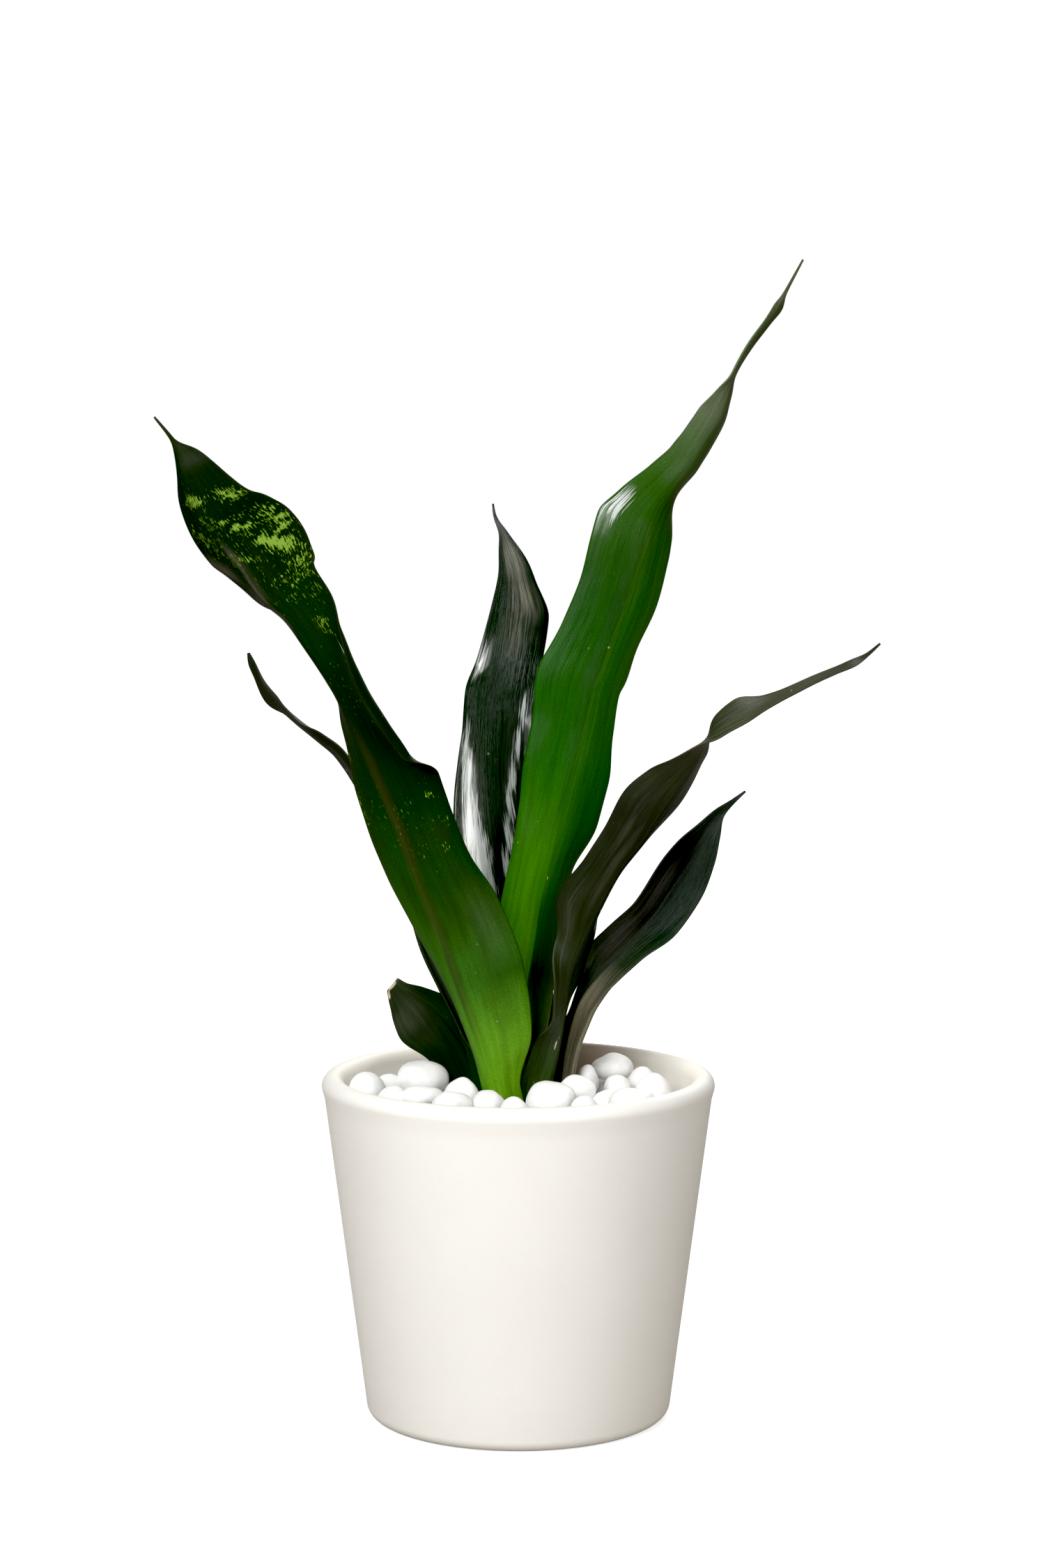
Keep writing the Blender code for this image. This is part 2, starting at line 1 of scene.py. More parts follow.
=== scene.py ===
import math

import bpy
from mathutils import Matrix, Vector, noise


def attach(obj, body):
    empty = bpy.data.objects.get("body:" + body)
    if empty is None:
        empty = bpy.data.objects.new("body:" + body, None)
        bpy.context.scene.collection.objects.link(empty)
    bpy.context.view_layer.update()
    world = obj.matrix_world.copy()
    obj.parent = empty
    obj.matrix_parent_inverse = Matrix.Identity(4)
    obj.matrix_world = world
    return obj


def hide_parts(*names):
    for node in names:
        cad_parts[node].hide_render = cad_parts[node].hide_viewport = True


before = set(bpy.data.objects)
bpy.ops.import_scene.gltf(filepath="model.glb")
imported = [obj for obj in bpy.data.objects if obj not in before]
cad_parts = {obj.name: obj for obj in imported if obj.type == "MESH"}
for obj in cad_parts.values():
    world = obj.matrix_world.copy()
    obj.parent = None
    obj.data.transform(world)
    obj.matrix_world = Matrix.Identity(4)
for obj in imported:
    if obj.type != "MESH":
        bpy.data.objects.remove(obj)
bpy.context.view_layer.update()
mm = 0.001
print("frame loaded")


# small helpers for modelling

def deselectAll():
    if bpy.context.object and bpy.context.object.mode != "OBJECT":
        bpy.ops.object.mode_set(mode="OBJECT")
    bpy.ops.object.select_all(action="DESELECT")


def makeActive(piece):
    deselectAll()
    piece.select_set(True)
    bpy.context.view_layer.objects.active = piece


def applyAll(piece):
    makeActive(piece)
    for modifier in list(piece.modifiers):
        bpy.ops.object.modifier_apply(modifier=modifier.name)


def settle(piece):
    # the place goes into the mesh, so the object sits at the origin
    makeActive(piece)
    bpy.ops.object.transform_apply(location=True, rotation=True, scale=True)


def faceOutwards(piece):
    makeActive(piece)
    bpy.ops.object.mode_set(mode="EDIT")
    bpy.ops.mesh.select_all(action="SELECT")
    bpy.ops.mesh.normals_make_consistent(inside=False)
    bpy.ops.object.mode_set(mode="OBJECT")


def subdivide(piece, levels):
    rounding = piece.modifiers.new("rounding", "SUBSURF")
    rounding.levels = levels
    rounding.render_levels = levels


# small helpers for materials

def newMaterial(name):
    material = bpy.data.materials.new(name)
    material.use_nodes = True
    tree = material.node_tree
    return material, tree, tree.nodes["Principled BSDF"]


def addNode(tree, kind, settings=None, **sockets):
    node = tree.nodes.new(kind)
    for key, value in (settings or {}).items():
        setattr(node, key, value)
    for key, value in sockets.items():
        fill(tree, node.inputs[key.replace("_", " ")], value)
    return node


def fill(tree, socket, value):
    if isinstance(value, bpy.types.NodeSocket):
        tree.links.new(value, socket)
    elif isinstance(value, bpy.types.Node):
        tree.links.new(value.outputs[0], socket)
    elif value is not None:
        if socket.type == "RGBA" and len(value) == 3:
            value = (*value, 1.0)
        socket.default_value = value


def maths(tree, operation, first, second=0.5):
    node = tree.nodes.new("ShaderNodeMath")
    node.operation = operation
    fill(tree, node.inputs[0], first)
    fill(tree, node.inputs[1], second)
    return node.outputs[0]


def times(tree, first, second):
    return maths(tree, "MULTIPLY", first, second)


def plus(tree, first, second):
    return maths(tree, "ADD", first, second)


def minus(tree, first, second):
    return maths(tree, "SUBTRACT", first, second)


def scaled(tree, colour, strength):
    node = addNode(tree, "ShaderNodeVectorMath", {"operation": "SCALE"}, Scale=strength)
    fill(tree, node.inputs[0], colour)
    return node.outputs[0]


def mixColours(tree, factor, first, second):
    node = tree.nodes.new("ShaderNodeMix")
    node.data_type = "RGBA"
    fill(tree, node.inputs[0], factor)
    fill(tree, node.inputs[6], first)
    fill(tree, node.inputs[7], second)
    return node.outputs[2]


def ramp(tree, value, stops, smooth=True):
    node = tree.nodes.new("ShaderNodeValToRGB")
    node.color_ramp.interpolation = "EASE" if smooth else "LINEAR"
    points = node.color_ramp.elements
    while len(points) < len(stops):
        points.new(0.5)
    for point, (place, colour) in zip(points, stops):
        point.position = place
        point.color = (*colour, 1.0) if len(colour) == 3 else colour
    fill(tree, node.inputs[0], value)
    return node.outputs[0]


def between(tree, value, low, high, start=0.0, end=1.0):
    node = tree.nodes.new("ShaderNodeMapRange")
    node.interpolation_type = "SMOOTHSTEP"
    for socket, given in zip(node.inputs[:5], (value, low, high, start, end)):
        fill(tree, socket, given)
    return node.outputs[0]


def stretched(tree, across, along, acrossScale, alongScale, seed):
    node = tree.nodes.new("ShaderNodeCombineXYZ")
    fill(tree, node.inputs[0], times(tree, across, acrossScale))
    fill(tree, node.inputs[1], times(tree, along, alongScale))
    fill(tree, node.inputs[2], seed)
    return node.outputs[0]


def noiseOf(tree, vector, scale=1.0, detail=2.0, roughness=0.5, distortion=0.0):
    return addNode(tree, "ShaderNodeTexNoise", Vector=vector, Scale=scale, Detail=detail,
                   Roughness=roughness, Distortion=distortion).outputs["Fac"]


def objectPlace(tree):
    return addNode(tree, "ShaderNodeTexCoord").outputs["Object"]


def bladePlace(tree):
    # across and along, from the blade's own map
    place = addNode(tree, "ShaderNodeSeparateXYZ", Vector=addNode(tree, "ShaderNodeTexCoord").outputs["UV"])
    return place.outputs[0], place.outputs[1]


def painted(tree, layer):
    return addNode(tree, "ShaderNodeAttribute", {"attribute_name": layer}).outputs["Fac"]


def roughen(tree, shader, strength, distance, height):
    bump = addNode(tree, "ShaderNodeBump", Strength=strength, Distance=distance, Height=height)
    fill(tree, shader.inputs["Normal"], bump)


def newGroup(name, inputs, outputs):
    # every socket of these groups is a plain number
    group = bpy.data.node_groups.new(name, "ShaderNodeTree")
    for title, value in inputs.items():
        socket = group.interface.new_socket(name=title, in_out="INPUT", socket_type="NodeSocketFloat")
        socket.default_value = value
    for title in outputs:
        group.interface.new_socket(name=title, in_out="OUTPUT", socket_type="NodeSocketFloat")
    return group, group.nodes.new("NodeGroupInput"), group.nodes.new("NodeGroupOutput")


def useGroup(tree, group, **sockets):
    node = tree.nodes.new("ShaderNodeGroup")
    node.node_tree = group
    for key, value in sockets.items():
        fill(tree, node.inputs[key], value)
    return node


# what the leaves share: fibres along the blade, its zones, the pale mottling and fine dust

def buildFibres():
    # scale across and along, detail, roughness
    kinds = {"fine": (80.0, 7.0, 2.0, 0.6), "streak": (22.0, 2.6, 4.0, 0.62), "broad": (4.5, 4.0, 2.0, 0.5),
             "grain": (120.0, 150.0, 3.0, 0.75)}
    group, given, out = newGroup("leafFibres", {"along": 3.0, "seed": 0.0}, kinds)
    across, upwards = bladePlace(group)
    upwards = times(group, upwards, given.outputs["along"])
    for title, (acrossScale, alongScale, detail, rough) in kinds.items():
        pattern = stretched(group, across, upwards, acrossScale, alongScale, given.outputs["seed"])
        fill(group, out.inputs[title], noiseOf(group, pattern, 1.0, detail, rough))
    return group


def buildZones():
    group, given, out = newGroup("leafZones", {"midribWidth": 0.05, "marginWidth": 0.02},
                                 ("midrib", "margin", "rightSide", "upwards"))
    across, upwards = bladePlace(group)
    wander = noiseOf(group, stretched(group, across, upwards, 3.0, 22.0, 4.0), 1.0, 2.0)
    shifted = plus(group, across, times(group, minus(group, wander, 0.5), 0.04))
    fromMiddle = maths(group, "ABSOLUTE", minus(group, shifted, 0.49))
    fill(group, out.inputs["midrib"], between(group, fromMiddle, given.outputs["midribWidth"], 0.0))
    fromRib = maths(group, "ABSOLUTE", minus(group, across, 0.5))
    inner = minus(group, 0.5, given.outputs["marginWidth"])
    fill(group, out.inputs["margin"], between(group, fromRib, inner, 0.5))
    fill(group, out.inputs["rightSide"], between(group, shifted, 0.47, 0.53))
    fill(group, out.inputs["upwards"], upwards)
    return group


def buildMottle():
    # pale dashes that run along the blade, thick where the blade's own pale layer is strong
    group, given, out = newGroup("leafMottle", {"along": 3.0, "seed": 0.0}, ("mask",))
    across, upwards = bladePlace(group)
    upwards = times(group, upwards, given.outputs["along"])
    seed = given.outputs["seed"]
    dashes = noiseOf(group, stretched(group, across, upwards, 90.0, 42.0, seed), 1.0, 2.0, 0.6)
    clumps = noiseOf(group, stretched(group, across, upwards, 14.0, 34.0, seed), 1.0, 2.0, 0.6)
    total = plus(group, times(group, dashes, 0.72), times(group, clumps, 0.28))
    pale = painted(group, "pale")
    limit = minus(group, 0.68, times(group, pale, 0.25))
    fill(group, out.inputs["mask"], between(group, minus(group, total, limit), -0.02, 0.1))
    return group


def buildSpecks():
    group, given, out = newGroup("dustSpecks", {"scale": 160.0, "amount": 0.5}, ("mask",))
    place = objectPlace(group)
    cells = addNode(group, "ShaderNodeTexVoronoi", Vector=place, Scale=given.outputs["scale"])
    size = addNode(group, "ShaderNodeSeparateColor", Color=cells.outputs["Color"]).outputs[0]
    chosen = between(group, size, minus(group, 1.0, given.outputs["amount"]), 1.0)
    dot = between(group, cells.outputs["Distance"], times(group, chosen, 0.2), 0.0)
    patches = noiseOf(group, place, 38.0, 2.0)
    fill(group, out.inputs["mask"], times(group, dot, between(group, patches, 0.5, 0.62)))
    return group


fibres, zones, mottle, specks = buildFibres(), buildZones(), buildMottle(), buildSpecks()


def leafMaterial(name, look, length):
    material, tree, shader = newMaterial(name + "Skin")
    grain = useGroup(tree, fibres, along=length * 10.0, seed=look["seed"])
    zone = useGroup(tree, zones, midribWidth=look["midribWidth"], marginWidth=look["marginWidth"])
    upwards = zone.outputs["upwards"]
    leftHalf = ramp(tree, upwards, look["leftColours"], False)
    rightHalf = ramp(tree, upwards, look["rightColours"], False)
    colour = mixColours(tree, zone.outputs["rightSide"], leftHalf, rightHalf)
    # lighter and darker threads, then a fine grain over them
    thread = between(tree, grain.outputs["streak"], 0.3, 0.7, 1.0 - look["streaks"], 1.0 + look["streaks"])
    dots = between(tree, grain.outputs["grain"], 0.3, 0.7, 1.0 - look["grain"], 1.0 + look["grain"])
    strength = times(tree, thread, dots)
    colour = scaled(tree, colour, strength)
    shade = between(tree, grain.outputs["broad"], 0.42, 0.7)
    colour = mixColours(tree, times(tree, shade, look["patches"]), colour, look["patchColour"])
    start, full, fading, end = look["midribReach"]
    ribFade = times(tree, between(tree, upwards, start, full), between(tree, upwards, end, fading))
    rib = times(tree, zone.outputs["midrib"], times(tree, ribFade, look["midribStrength"]))
    colour = mixColours(tree, rib, colour, look["midribColour"])
    # a waxy grey bloom together with painted sheen, grazing reflections painted in grey, broken into threads
    bloom = painted(tree, "bloom")
    threads = plus(tree, times(tree, grain.outputs["fine"], 0.7), times(tree, grain.outputs["streak"], 0.3))
    torn = times(tree, bloom, between(tree, threads, 0.4, 0.58, look["bloomSheenGap"], 1.0))
    colour = mixColours(tree, torn, colour, look["bloomSheenColour"])
    # painted highlight: pale grey streaks of shine painted into the colour
    sheen = painted(tree, "sheen")
    uneven = times(tree, minus(tree, threads, 0.5), 3.4)
    paintedShine = between(tree, plus(tree, sheen, uneven), 0.3, 0.8)
    paintedShine = times(tree, paintedShine, between(tree, sheen, 0.0, 0.3))
    colour = mixColours(tree, paintedShine, colour, (0.62, 0.66, 0.65))
    spots = useGroup(tree, mottle, along=length * 10.0, seed=look["seed"]).outputs["mask"]
    paint = mixColours(tree, spots, look["midColour"], look["paleColour"])
    colour = mixColours(tree, between(tree, spots, 0.0, 0.45), colour, paint)
    scar = painted(tree, "scar")
    torn = between(tree, plus(tree, scar, times(tree, grain.outputs["grain"], 0.6)), 0.72, 0.86)
    colour = mixColours(tree, torn, colour, look["scarColour"])
    colour = mixColours(tree, times(tree, zone.outputs["margin"], look["marginStrength"]),
                        colour, look["marginColour"])
    dirt = useGroup(tree, specks, scale=260.0, amount=look["specks"])
    colour = mixColours(tree, times(tree, dirt.outputs["mask"], 0.8), colour, (0.4, 0.4, 0.3))
    fill(tree, shader.inputs["Base Color"], colour)
    rough = plus(tree, times(tree, grain.outputs["streak"], 0.2), look["roughness"] - 0.1)
    fill(tree, shader.inputs["Roughness"], rough)
    shader.inputs["IOR"].default_value = 1.45
    shader.inputs["Specular IOR Level"].default_value = look["shine"]
    gloss = painted(tree, "gloss")
    gaps = between(tree, grain.outputs["streak"], 0.36, 0.56, look["glossGap"], 1.0)
    fill(tree, shader.inputs["Coat Weight"], times(tree, gloss, gaps))
    shader.inputs["Coat Roughness"].default_value = look["coatRoughness"]
    shader.inputs["Coat IOR"].default_value = look["coatIor"]
    breadth = painted(tree, "breadth")
    relief = plus(tree, times(tree, grain.outputs["fine"], look["fibreRelief"]),
                  plus(tree, times(tree, grain.outputs["streak"], look["streakRelief"]),
                       times(tree, grain.outputs["broad"], look["waveRelief"])))
    relief = times(tree, relief, breadth)
    roughen(tree, shader, 1.0, 0.001, relief)
    return material


# the leaves: each row is one station of a blade, from its foot to its tip, as
# midrib x, y, z, left and right flank widths (mm),
# then the left flank's bend at the midrib and at the margin, and the right flank's (degrees);
# each mark is a soft spot: across (-1 left margin to 1 right), along (0 foot to 1 tip), its reach both ways,
# its strength and, where it has one, a slant of its own; a look only says what isn't usual
usualLook = {
    "coatRoughness": 0.2, "coatIor": 1.5, "glossGap": 0.4, "bloomSheenGap": 0.35, "curl": 2.0, "waveRelief": 0.8,
    "midColour": (0.05, 0.1, 0.02), "paleColour": (0.2, 0.3, 0.08), "scarColour": (0.4, 0.38, 0.3),
    "specks": 0.3,
}

leaves = {
    "leaf_front_left": {
        "stations": [
            (-4.5, -16, 110.3, 9, 10, -50, -80, -10, -45), (-8, -18.5, 126.5, 9, 10, -50, -80, -10, -45),
            (-13, -20.5, 143, 7, 20, -52, -75, 0, -35), (-19, -22, 159.5, 6.5, 25, -52, -68, 0, -32),
            (-24, -24, 173.5, 8.5, 27, -50, -64, 0, -32), (-30.5, -25, 192.5, 14.2, 26, -46, -60, 0, -36),
            (-37.5, -28, 211.5, 16.8, 22, -42, -56, 0, -42),
            (-42, -30, 224.5, 17.2, 21.2, -40, -54, 0, -42), (-48, -32, 239.5, 16, 21.5, -42, -56, 5, -25),
            (-51, -33, 246.5, 15, 22, -44, -58, 3, 55), (-54, -34, 253.5, 13, 23.5, -48, -62, 0, 150),
            (-59.2, -36, 266, 11, 22.5, -58, -70, 12, 160), (-64.6, -38, 277.5, 13, 21, -84, -92, 15, 165),
            (-70.2, -40, 287, 15, 21.3, -94, -98, 12, 150), (-76.6, -42, 297, 16, 21, -97, -78, 0, 120),
            (-84, -44, 307.5, 15, 21, -101, -70, 0, 50), (-91, -45, 314, 12, 24, -84, -56, 0, 30),
            (-95.5, -46, 320, 9, 25.5, -62, -50, 0, 20), (-100.5, -47, 327.5, 9.7, 27, -38, -40, 0, 18),
            (-104, -47.5, 332, 11, 26.5, -32, -38, 0, 16),
            (-107.5, -48, 336.5, 10.8, 24.5, -30, -38, 0, 16),
            (-112.5, -49, 343.5, 9.5, 20.5, -28, -38, 0, 18), (-116.5, -49, 352, 8, 15.5, -28, -38, 0, 18),
            (-120, -49, 360.5, 4.1, 11, -28, -38, 0, 20), (-122.5, -48, 367, 2, 6.5, -30, -40, 0, 20),
            (-124.5, -48, 371.5, 0.8, 1, 0, 0, 0, 0), (-131.5, -47, 380.5, 0.4, 0.4, 0, 0, 0, 0),
        ],
        "look": {
            "seed": 1.0, "ribRounding": 2.6, "roughness": 0.42, "shine": 0.12, "coatRoughness": 0.12,
            "fibreRelief": 0.1, "streakRelief": 0.15,
            "leftColours": [(0.0, (0.16, 0.37, 0.02)), (0.08, (0.125, 0.33, 0.02)),
                            (0.2, (0.047, 0.16, 0.015)), (0.33, (0.015, 0.07, 0.001)),
                            (0.46, (0.006, 0.028, 0.001)), (0.6, (0.004, 0.015, 0.001)),
                            (0.9, (0.003, 0.013, 0.001)), (1.0, (0.012, 0.02, 0.003))],
            "rightColours": [(0.0, (0.19, 0.41, 0.025)), (0.08, (0.135, 0.33, 0.02)),
                             (0.2, (0.036, 0.12, 0.014)), (0.33, (0.0125, 0.048, 0.0015)),
                             (0.44, (0.006, 0.024, 0.001)), (0.55, (0.004, 0.016, 0.001)),
                             (0.68, (0.008, 0.026, 0.002)), (0.8, (0.004, 0.014, 0.001)),
                             (0.92, (0.004, 0.013, 0.001)), (1.0, (0.014, 0.022, 0.003))],
            "streaks": 0.15, "grain": 0.3, "patches": 0.35, "patchColour": (0.012, 0.018, 0.002),
            "midribWidth": 0.12, "midribStrength": 0.5, "midribColour": (0.05, 0.045, 0.022),
            "midribReach": (0.06, 0.2, 0.45, 0.62), "marginWidth": 0.012, "marginStrength": 0.5,
            "marginColour": (0.02, 0.016, 0.006), "midColour": (0.05, 0.14, 0.008),
            "paleColour": (0.19, 0.32, 0.045), "bloomSheenColour": (0.14, 0.13, 0.1),
            "scarColour": (0.3, 0.26, 0.16), "specks": 0.25,
        },
        "marks": {
            "slant": 0.04,
            "gloss": [(0.62, 0.57, 0.3, 0.09, 1.0)],
            # painted highlight along the rolled right margin
            "sheen": [(0.58, 0.6, 0.08, 0.07, 0.75), (0.64, 0.54, 0.07, 0.05, 0.7)],
            "pale": [(0.1, 0.81, 1.5, 0.13, 0.36), (-0.2, 0.888, 0.55, 0.014, 1.1, 0.01),
                     (0.66, 0.878, 0.5, 0.018, 1.0, 0.02), (0.57, 0.793, 0.42, 0.018, 1.3, 0.05),
                     (0.8, 0.815, 0.3, 0.045, 0.85), (0.36, 0.828, 0.4, 0.014, 0.9),
                     (0.8, 0.755, 0.4, 0.07, 0.74), (-0.5, 0.84, 0.6, 0.028, 0.68),
                     (0.5, 0.68, 0.25, 0.026, 0.8), (0.1, 0.85, 0.8, 0.012, 0.7),
                     (0.0, 0.8, 0.6, 0.014, 0.66), (0.6, 0.74, 0.6, 0.016, 0.75),
                     (0.6, 0.832, 0.35, 0.02, 0.5), (0.5, 0.72, 0.5, 0.03, 0.5),
                     (-0.86, 0.52, 0.14, 0.03, 0.6), (-0.86, 0.45, 0.16, 0.05, 0.62),
                     (0.7, 0.443, 0.16, 0.025, 0.62), (0.8, 0.404, 0.14, 0.014, 0.6),
                     (0.64, 0.374, 0.14, 0.014, 0.6), (0.0, 0.42, 1.2, 0.09, 0.3),
                     (0.1, 0.6, 1.0, 0.08, 0.25)],
            # painted sheen: grazing reflections along the crease and at the left edge, with a little bloom
            # low down
            "bloom": [(-0.05, 0.8, 0.12, 0.04, 0.5), (-0.05, 0.76, 0.12, 0.045, 0.6),
                      (-0.07, 0.715, 0.12, 0.035, 0.6), (-0.75, 0.8, 0.4, 0.03, 0.5),
                      (0.75, 0.27, 0.35, 0.07, 0.12)],
        },
    },
    "leaf_tall_centre": {
        "stations": [
            (2, 2, 110.3, 8, 7, -10, -10, -60, -60), (2, 2, 126, 10, 9, -10, -15, -60, -65),
            (2, 3, 158, 14, 15, -10, -20, -48, -56), (4.5, 4, 174, 17, 16, -5, -20, -48, -54),
            (7, 5, 191, 15, 12.5, 0, -20, -45, -51), (11, 6, 210, 15, 13, 0, -20, -42, -50),
            (16, 8, 230, 16.5, 18, 0, -18, -32, -40), (20, 9, 245.5, 19, 18, 0, -18, -31, -40),
            (24.5, 11, 263, 20, 15, 0, -18, -35, -44), (28.5, 12, 279, 22.5, 13.5, 0, -16, -36, -46),
            (31, 13, 285.5, 21.5, 14.5, 0, -16, -37, -46), (35, 14, 296, 20, 13.8, 0, -16, -38, -46),
            (41.5, 15, 313, 19.5, 15, 0, -16, -36, -44), (47, 16, 330.5, 20.5, 13.8, 0, -14, -36, -44),
            (50, 17.5, 339, 21, 12.5, 0, -12, -38, -46), (52.5, 20, 345, 17, 11.5, 0, -10, -44, -50),
            (59.5, 25, 355.5, 12, 6.5, 0, -10, -62, -68), (65.5, 27, 362.5, 10.5, 6.5, 0, -10, -60, -66),
            (68.5, 28.5, 367, 10, 5.5, 0, -10, -55, -60), (71, 29.5, 371.5, 9, 5.5, 0, -10, -50, -55),
            (76.5, 31, 380.5, 8.5, 4.5, 0, -10, -50, -55), (80, 31.5, 389.5, 5, 3, 20, 10, -55, -58),
            (82.5, 32, 397, 3, 3, 70, 75, -75, -75), (88.5, 32, 408, 2, 2.5, 60, 60, -60, -60),
            (95.5, 32.5, 417.5, 1.5, 2, 40, 40, -40, -40), (99.5, 32.5, 423, 2, 2.5, 20, 20, -40, -40),
            (101.5, 32.5, 427, 0.8, 0.8, 0, 0, 0, 0), (109, 33, 441, 0.4, 0.4, 0, 0, 0, 0),
        ],
        "look": {
            "seed": 2.0, "ribRounding": 8.0, "roughness": 0.36, "shine": 0.15, "coatRoughness": 0.14,
            "coatIor": 1.6, "glossGap": 0.1, "fibreRelief": 0.1, "streakRelief": 0.2, "waveRelief": 0.6,
            "leftColours": [(0.0, (0.12, 0.36, 0.004)), (0.14, (0.09, 0.3, 0.003)),
                            (0.26, (0.045, 0.19, 0.002)), (0.39, (0.0105, 0.088, 0.001)),
                            (0.58, (0.008, 0.058, 0.001)), (0.71, (0.022, 0.08, 0.005)),
                            (0.82, (0.075, 0.1, 0.05)), (1.0, (0.07, 0.08, 0.045))],
            "rightColours": [(0.0, (0.04, 0.15, 0.003)), (0.12, (0.04, 0.15, 0.003)),
                             (0.17, (0.014, 0.06, 0.001)), (0.27, (0.034, 0.15, 0.002)),
                             (0.39, (0.019, 0.105, 0.001)), (0.58, (0.017, 0.088, 0.001)),
                             (0.71, (0.018, 0.055, 0.003)), (0.82, (0.045, 0.07, 0.025)),
                             (1.0, (0.04, 0.05, 0.025))],
            "streaks": 0.16, "grain": 0.3, "patches": 0.12, "patchColour": (0.03, 0.075, 0.002),
            "midribWidth": 0.06, "midribStrength": 0.2, "midribColour": (0.03, 0.05, 0.01),
            "midribReach": (0.3, 0.45, 0.7, 0.8), "marginWidth": 0.01, "marginStrength": 0.4,
            "marginColour": (0.08, 0.2, 0.02), "midColour": (0.06, 0.18, 0.01),
            "paleColour": (0.2, 0.34, 0.05), "bloomSheenColour": (0.12, 0.13, 0.09),
            "scarColour": (0.6, 0.5, 0.2), "specks": 0.2,
        },
        "marks": {
            "gloss": [(-0.8, 0.668, 0.6, 0.04, 0.6), (0.8, 0.8, 0.4, 0.06, 0.6)],
            # painted highlight at the fold near the top
            "sheen": [(-0.78, 0.668, 0.32, 0.03, 0.82)],
            # painted sheen, grey-olive, on the upper blade and the tail
            "bloom": [(0.2, 0.74, 0.9, 0.05, 0.2), (0.0, 0.84, 1.4, 0.07, 0.35),
                      (0.75, 0.55, 0.3, 0.14, 0.1)],
            "scar": [(0.05, 0.272, 0.04, 0.004, 0.9)],
        },
    },
    "leaf_back_centre": {
        "stations": [
            (3, 16, 110.3, 7, 7, 5, 15, 5, 15), (2.5, 17, 123.5, 9, 9, 5, 15, 5, 15),
            (0, 20, 153, 14, 14, 6, 25, 4, 20), (-4, 24, 185, 17, 16.8, 5, 30, 3, 26),
            (-7.5, 28, 214.5, 18, 17.7, 4, 31, 3, 28), (-10.5, 31, 238.5, 15, 16.6, 4, 31, 3, 27),
            (-10.8, 32, 250, 13, 16.7, 4, 26, 3, 24), (-10.5, 33, 262.5, 11.2, 16.9, 2, 8, 2, 16),
            (-9.5, 34.5, 274, 11.4, 16.8, 2, 10, 2, 10), (-8, 36, 286.5, 8.7, 17.2, 8, 30, 0, 4),
            (-5.5, 42, 305.5, 5.9, 17.8, 14, 34, -2, -10), (-4.5, 47, 319, 3.8, 11, 20, 36, 0, -10),
            (-6, 51, 329.5, 1.8, 6.5, 20, 30, 0, 0), (-7, 54, 336.5, 0.8, 2.5, 0, 0, 0, 0),
            (-8.5, 55.5, 340.5, 0.8, 1, 0, 0, 0, 0), (-9.5, 57, 343.5, 0.6, 0.6, 0, 0, 0, 0),
            (-10, 58.5, 347.5, 0.4, 0.4, 0, 0, 0, 0),
        ],
        "look": {
            "seed": 3.0, "ribRounding": 5.0, "roughness": 0.2, "shine": 0.3, "coatRoughness": 0.1,
            "coatIor": 2.1, "glossGap": 0.12, "curl": 1.2, "fibreRelief": 0.15, "streakRelief": 0.35,
            "waveRelief": 1.0,
            "leftColours": [(0.0, (0.01, 0.035, 0.006)), (0.4, (0.004, 0.022, 0.003)),
                            (0.6, (0.0015, 0.017, 0.0015)), (0.8, (0.002, 0.015, 0.002)),
                            (1.0, (0.012, 0.018, 0.01))],
            "rightColours": [(0.0, (0.01, 0.035, 0.006)), (0.4, (0.004, 0.022, 0.003)),
                             (0.6, (0.0015, 0.017, 0.0015)), (0.8, (0.003, 0.014, 0.003)),
                             (1.0, (0.012, 0.018, 0.01))],
            "streaks": 0.25, "grain": 0.2, "patches": 0.1, "patchColour": (0.006, 0.014, 0.003),
            "midribWidth": 0.03, "midribStrength": 0.2, "midribColour": (0.02, 0.03, 0.02),
            "midribReach": (0.1, 0.3, 0.8, 0.95), "marginWidth": 0.012, "marginStrength": 0.3,
            "marginColour": (0.03, 0.05, 0.03), "paleColour": (0.2, 0.3, 0.1),
            "bloomSheenColour": (0.42, 0.4, 0.33), "bloomSheenGap": 0.15, "scarColour": (0.4, 0.4, 0.34),
        },
        "marks": {
            "gloss": [(-0.6, 0.5, 0.7, 0.16, 0.8), (-0.75, 0.73, 0.4, 0.06, 0.8),
                      (0.6, 0.5, 0.6, 0.22, 1.3)],
            # painted sheen: grey streaks at the top
            "bloom": [(0.35, 0.9, 0.6, 0.06, 0.38), (0.45, 0.84, 0.5, 0.06, 0.33),
                      (0.3, 0.78, 0.5, 0.05, 0.18)],
            # painted highlights: the two streaky bands of shine down the blade
            "sheen": [(-0.82, 0.6, 0.15, 0.06, 0.9), (-0.66, 0.54, 0.26, 0.07, 0.95),
                      (-0.52, 0.48, 0.34, 0.08, 1.0), (-0.42, 0.42, 0.32, 0.07, 1.0),
                      (-0.32, 0.37, 0.27, 0.06, 0.9), (-0.8, 0.73, 0.2, 0.05, 0.7),
                      (0.12, 0.4, 0.12, 0.05, 0.85), (0.26, 0.45, 0.13, 0.05, 0.9),
                      (0.4, 0.5, 0.14, 0.05, 0.9), (0.53, 0.55, 0.14, 0.05, 0.9),
                      (0.65, 0.6, 0.13, 0.05, 0.85), (0.73, 0.65, 0.12, 0.05, 0.75)],
            "scar": [(0.3, 0.49, 0.05, 0.005, 0.8), (0.2, 0.46, 0.05, 0.005, 0.8)],
        },
    },
    "leaf_long_right": {
        "stations": [
            (10, -5, 110.3, 8, 8, 10, 20, -100, -130), (11, -5, 126, 11.5, 9, 10, 25, -100, -130),
            (14, -6, 142, 10, 10, 15, 30, -94, -125), (16.5, -8, 156, 10, 11, 60, 90, -80, -102),
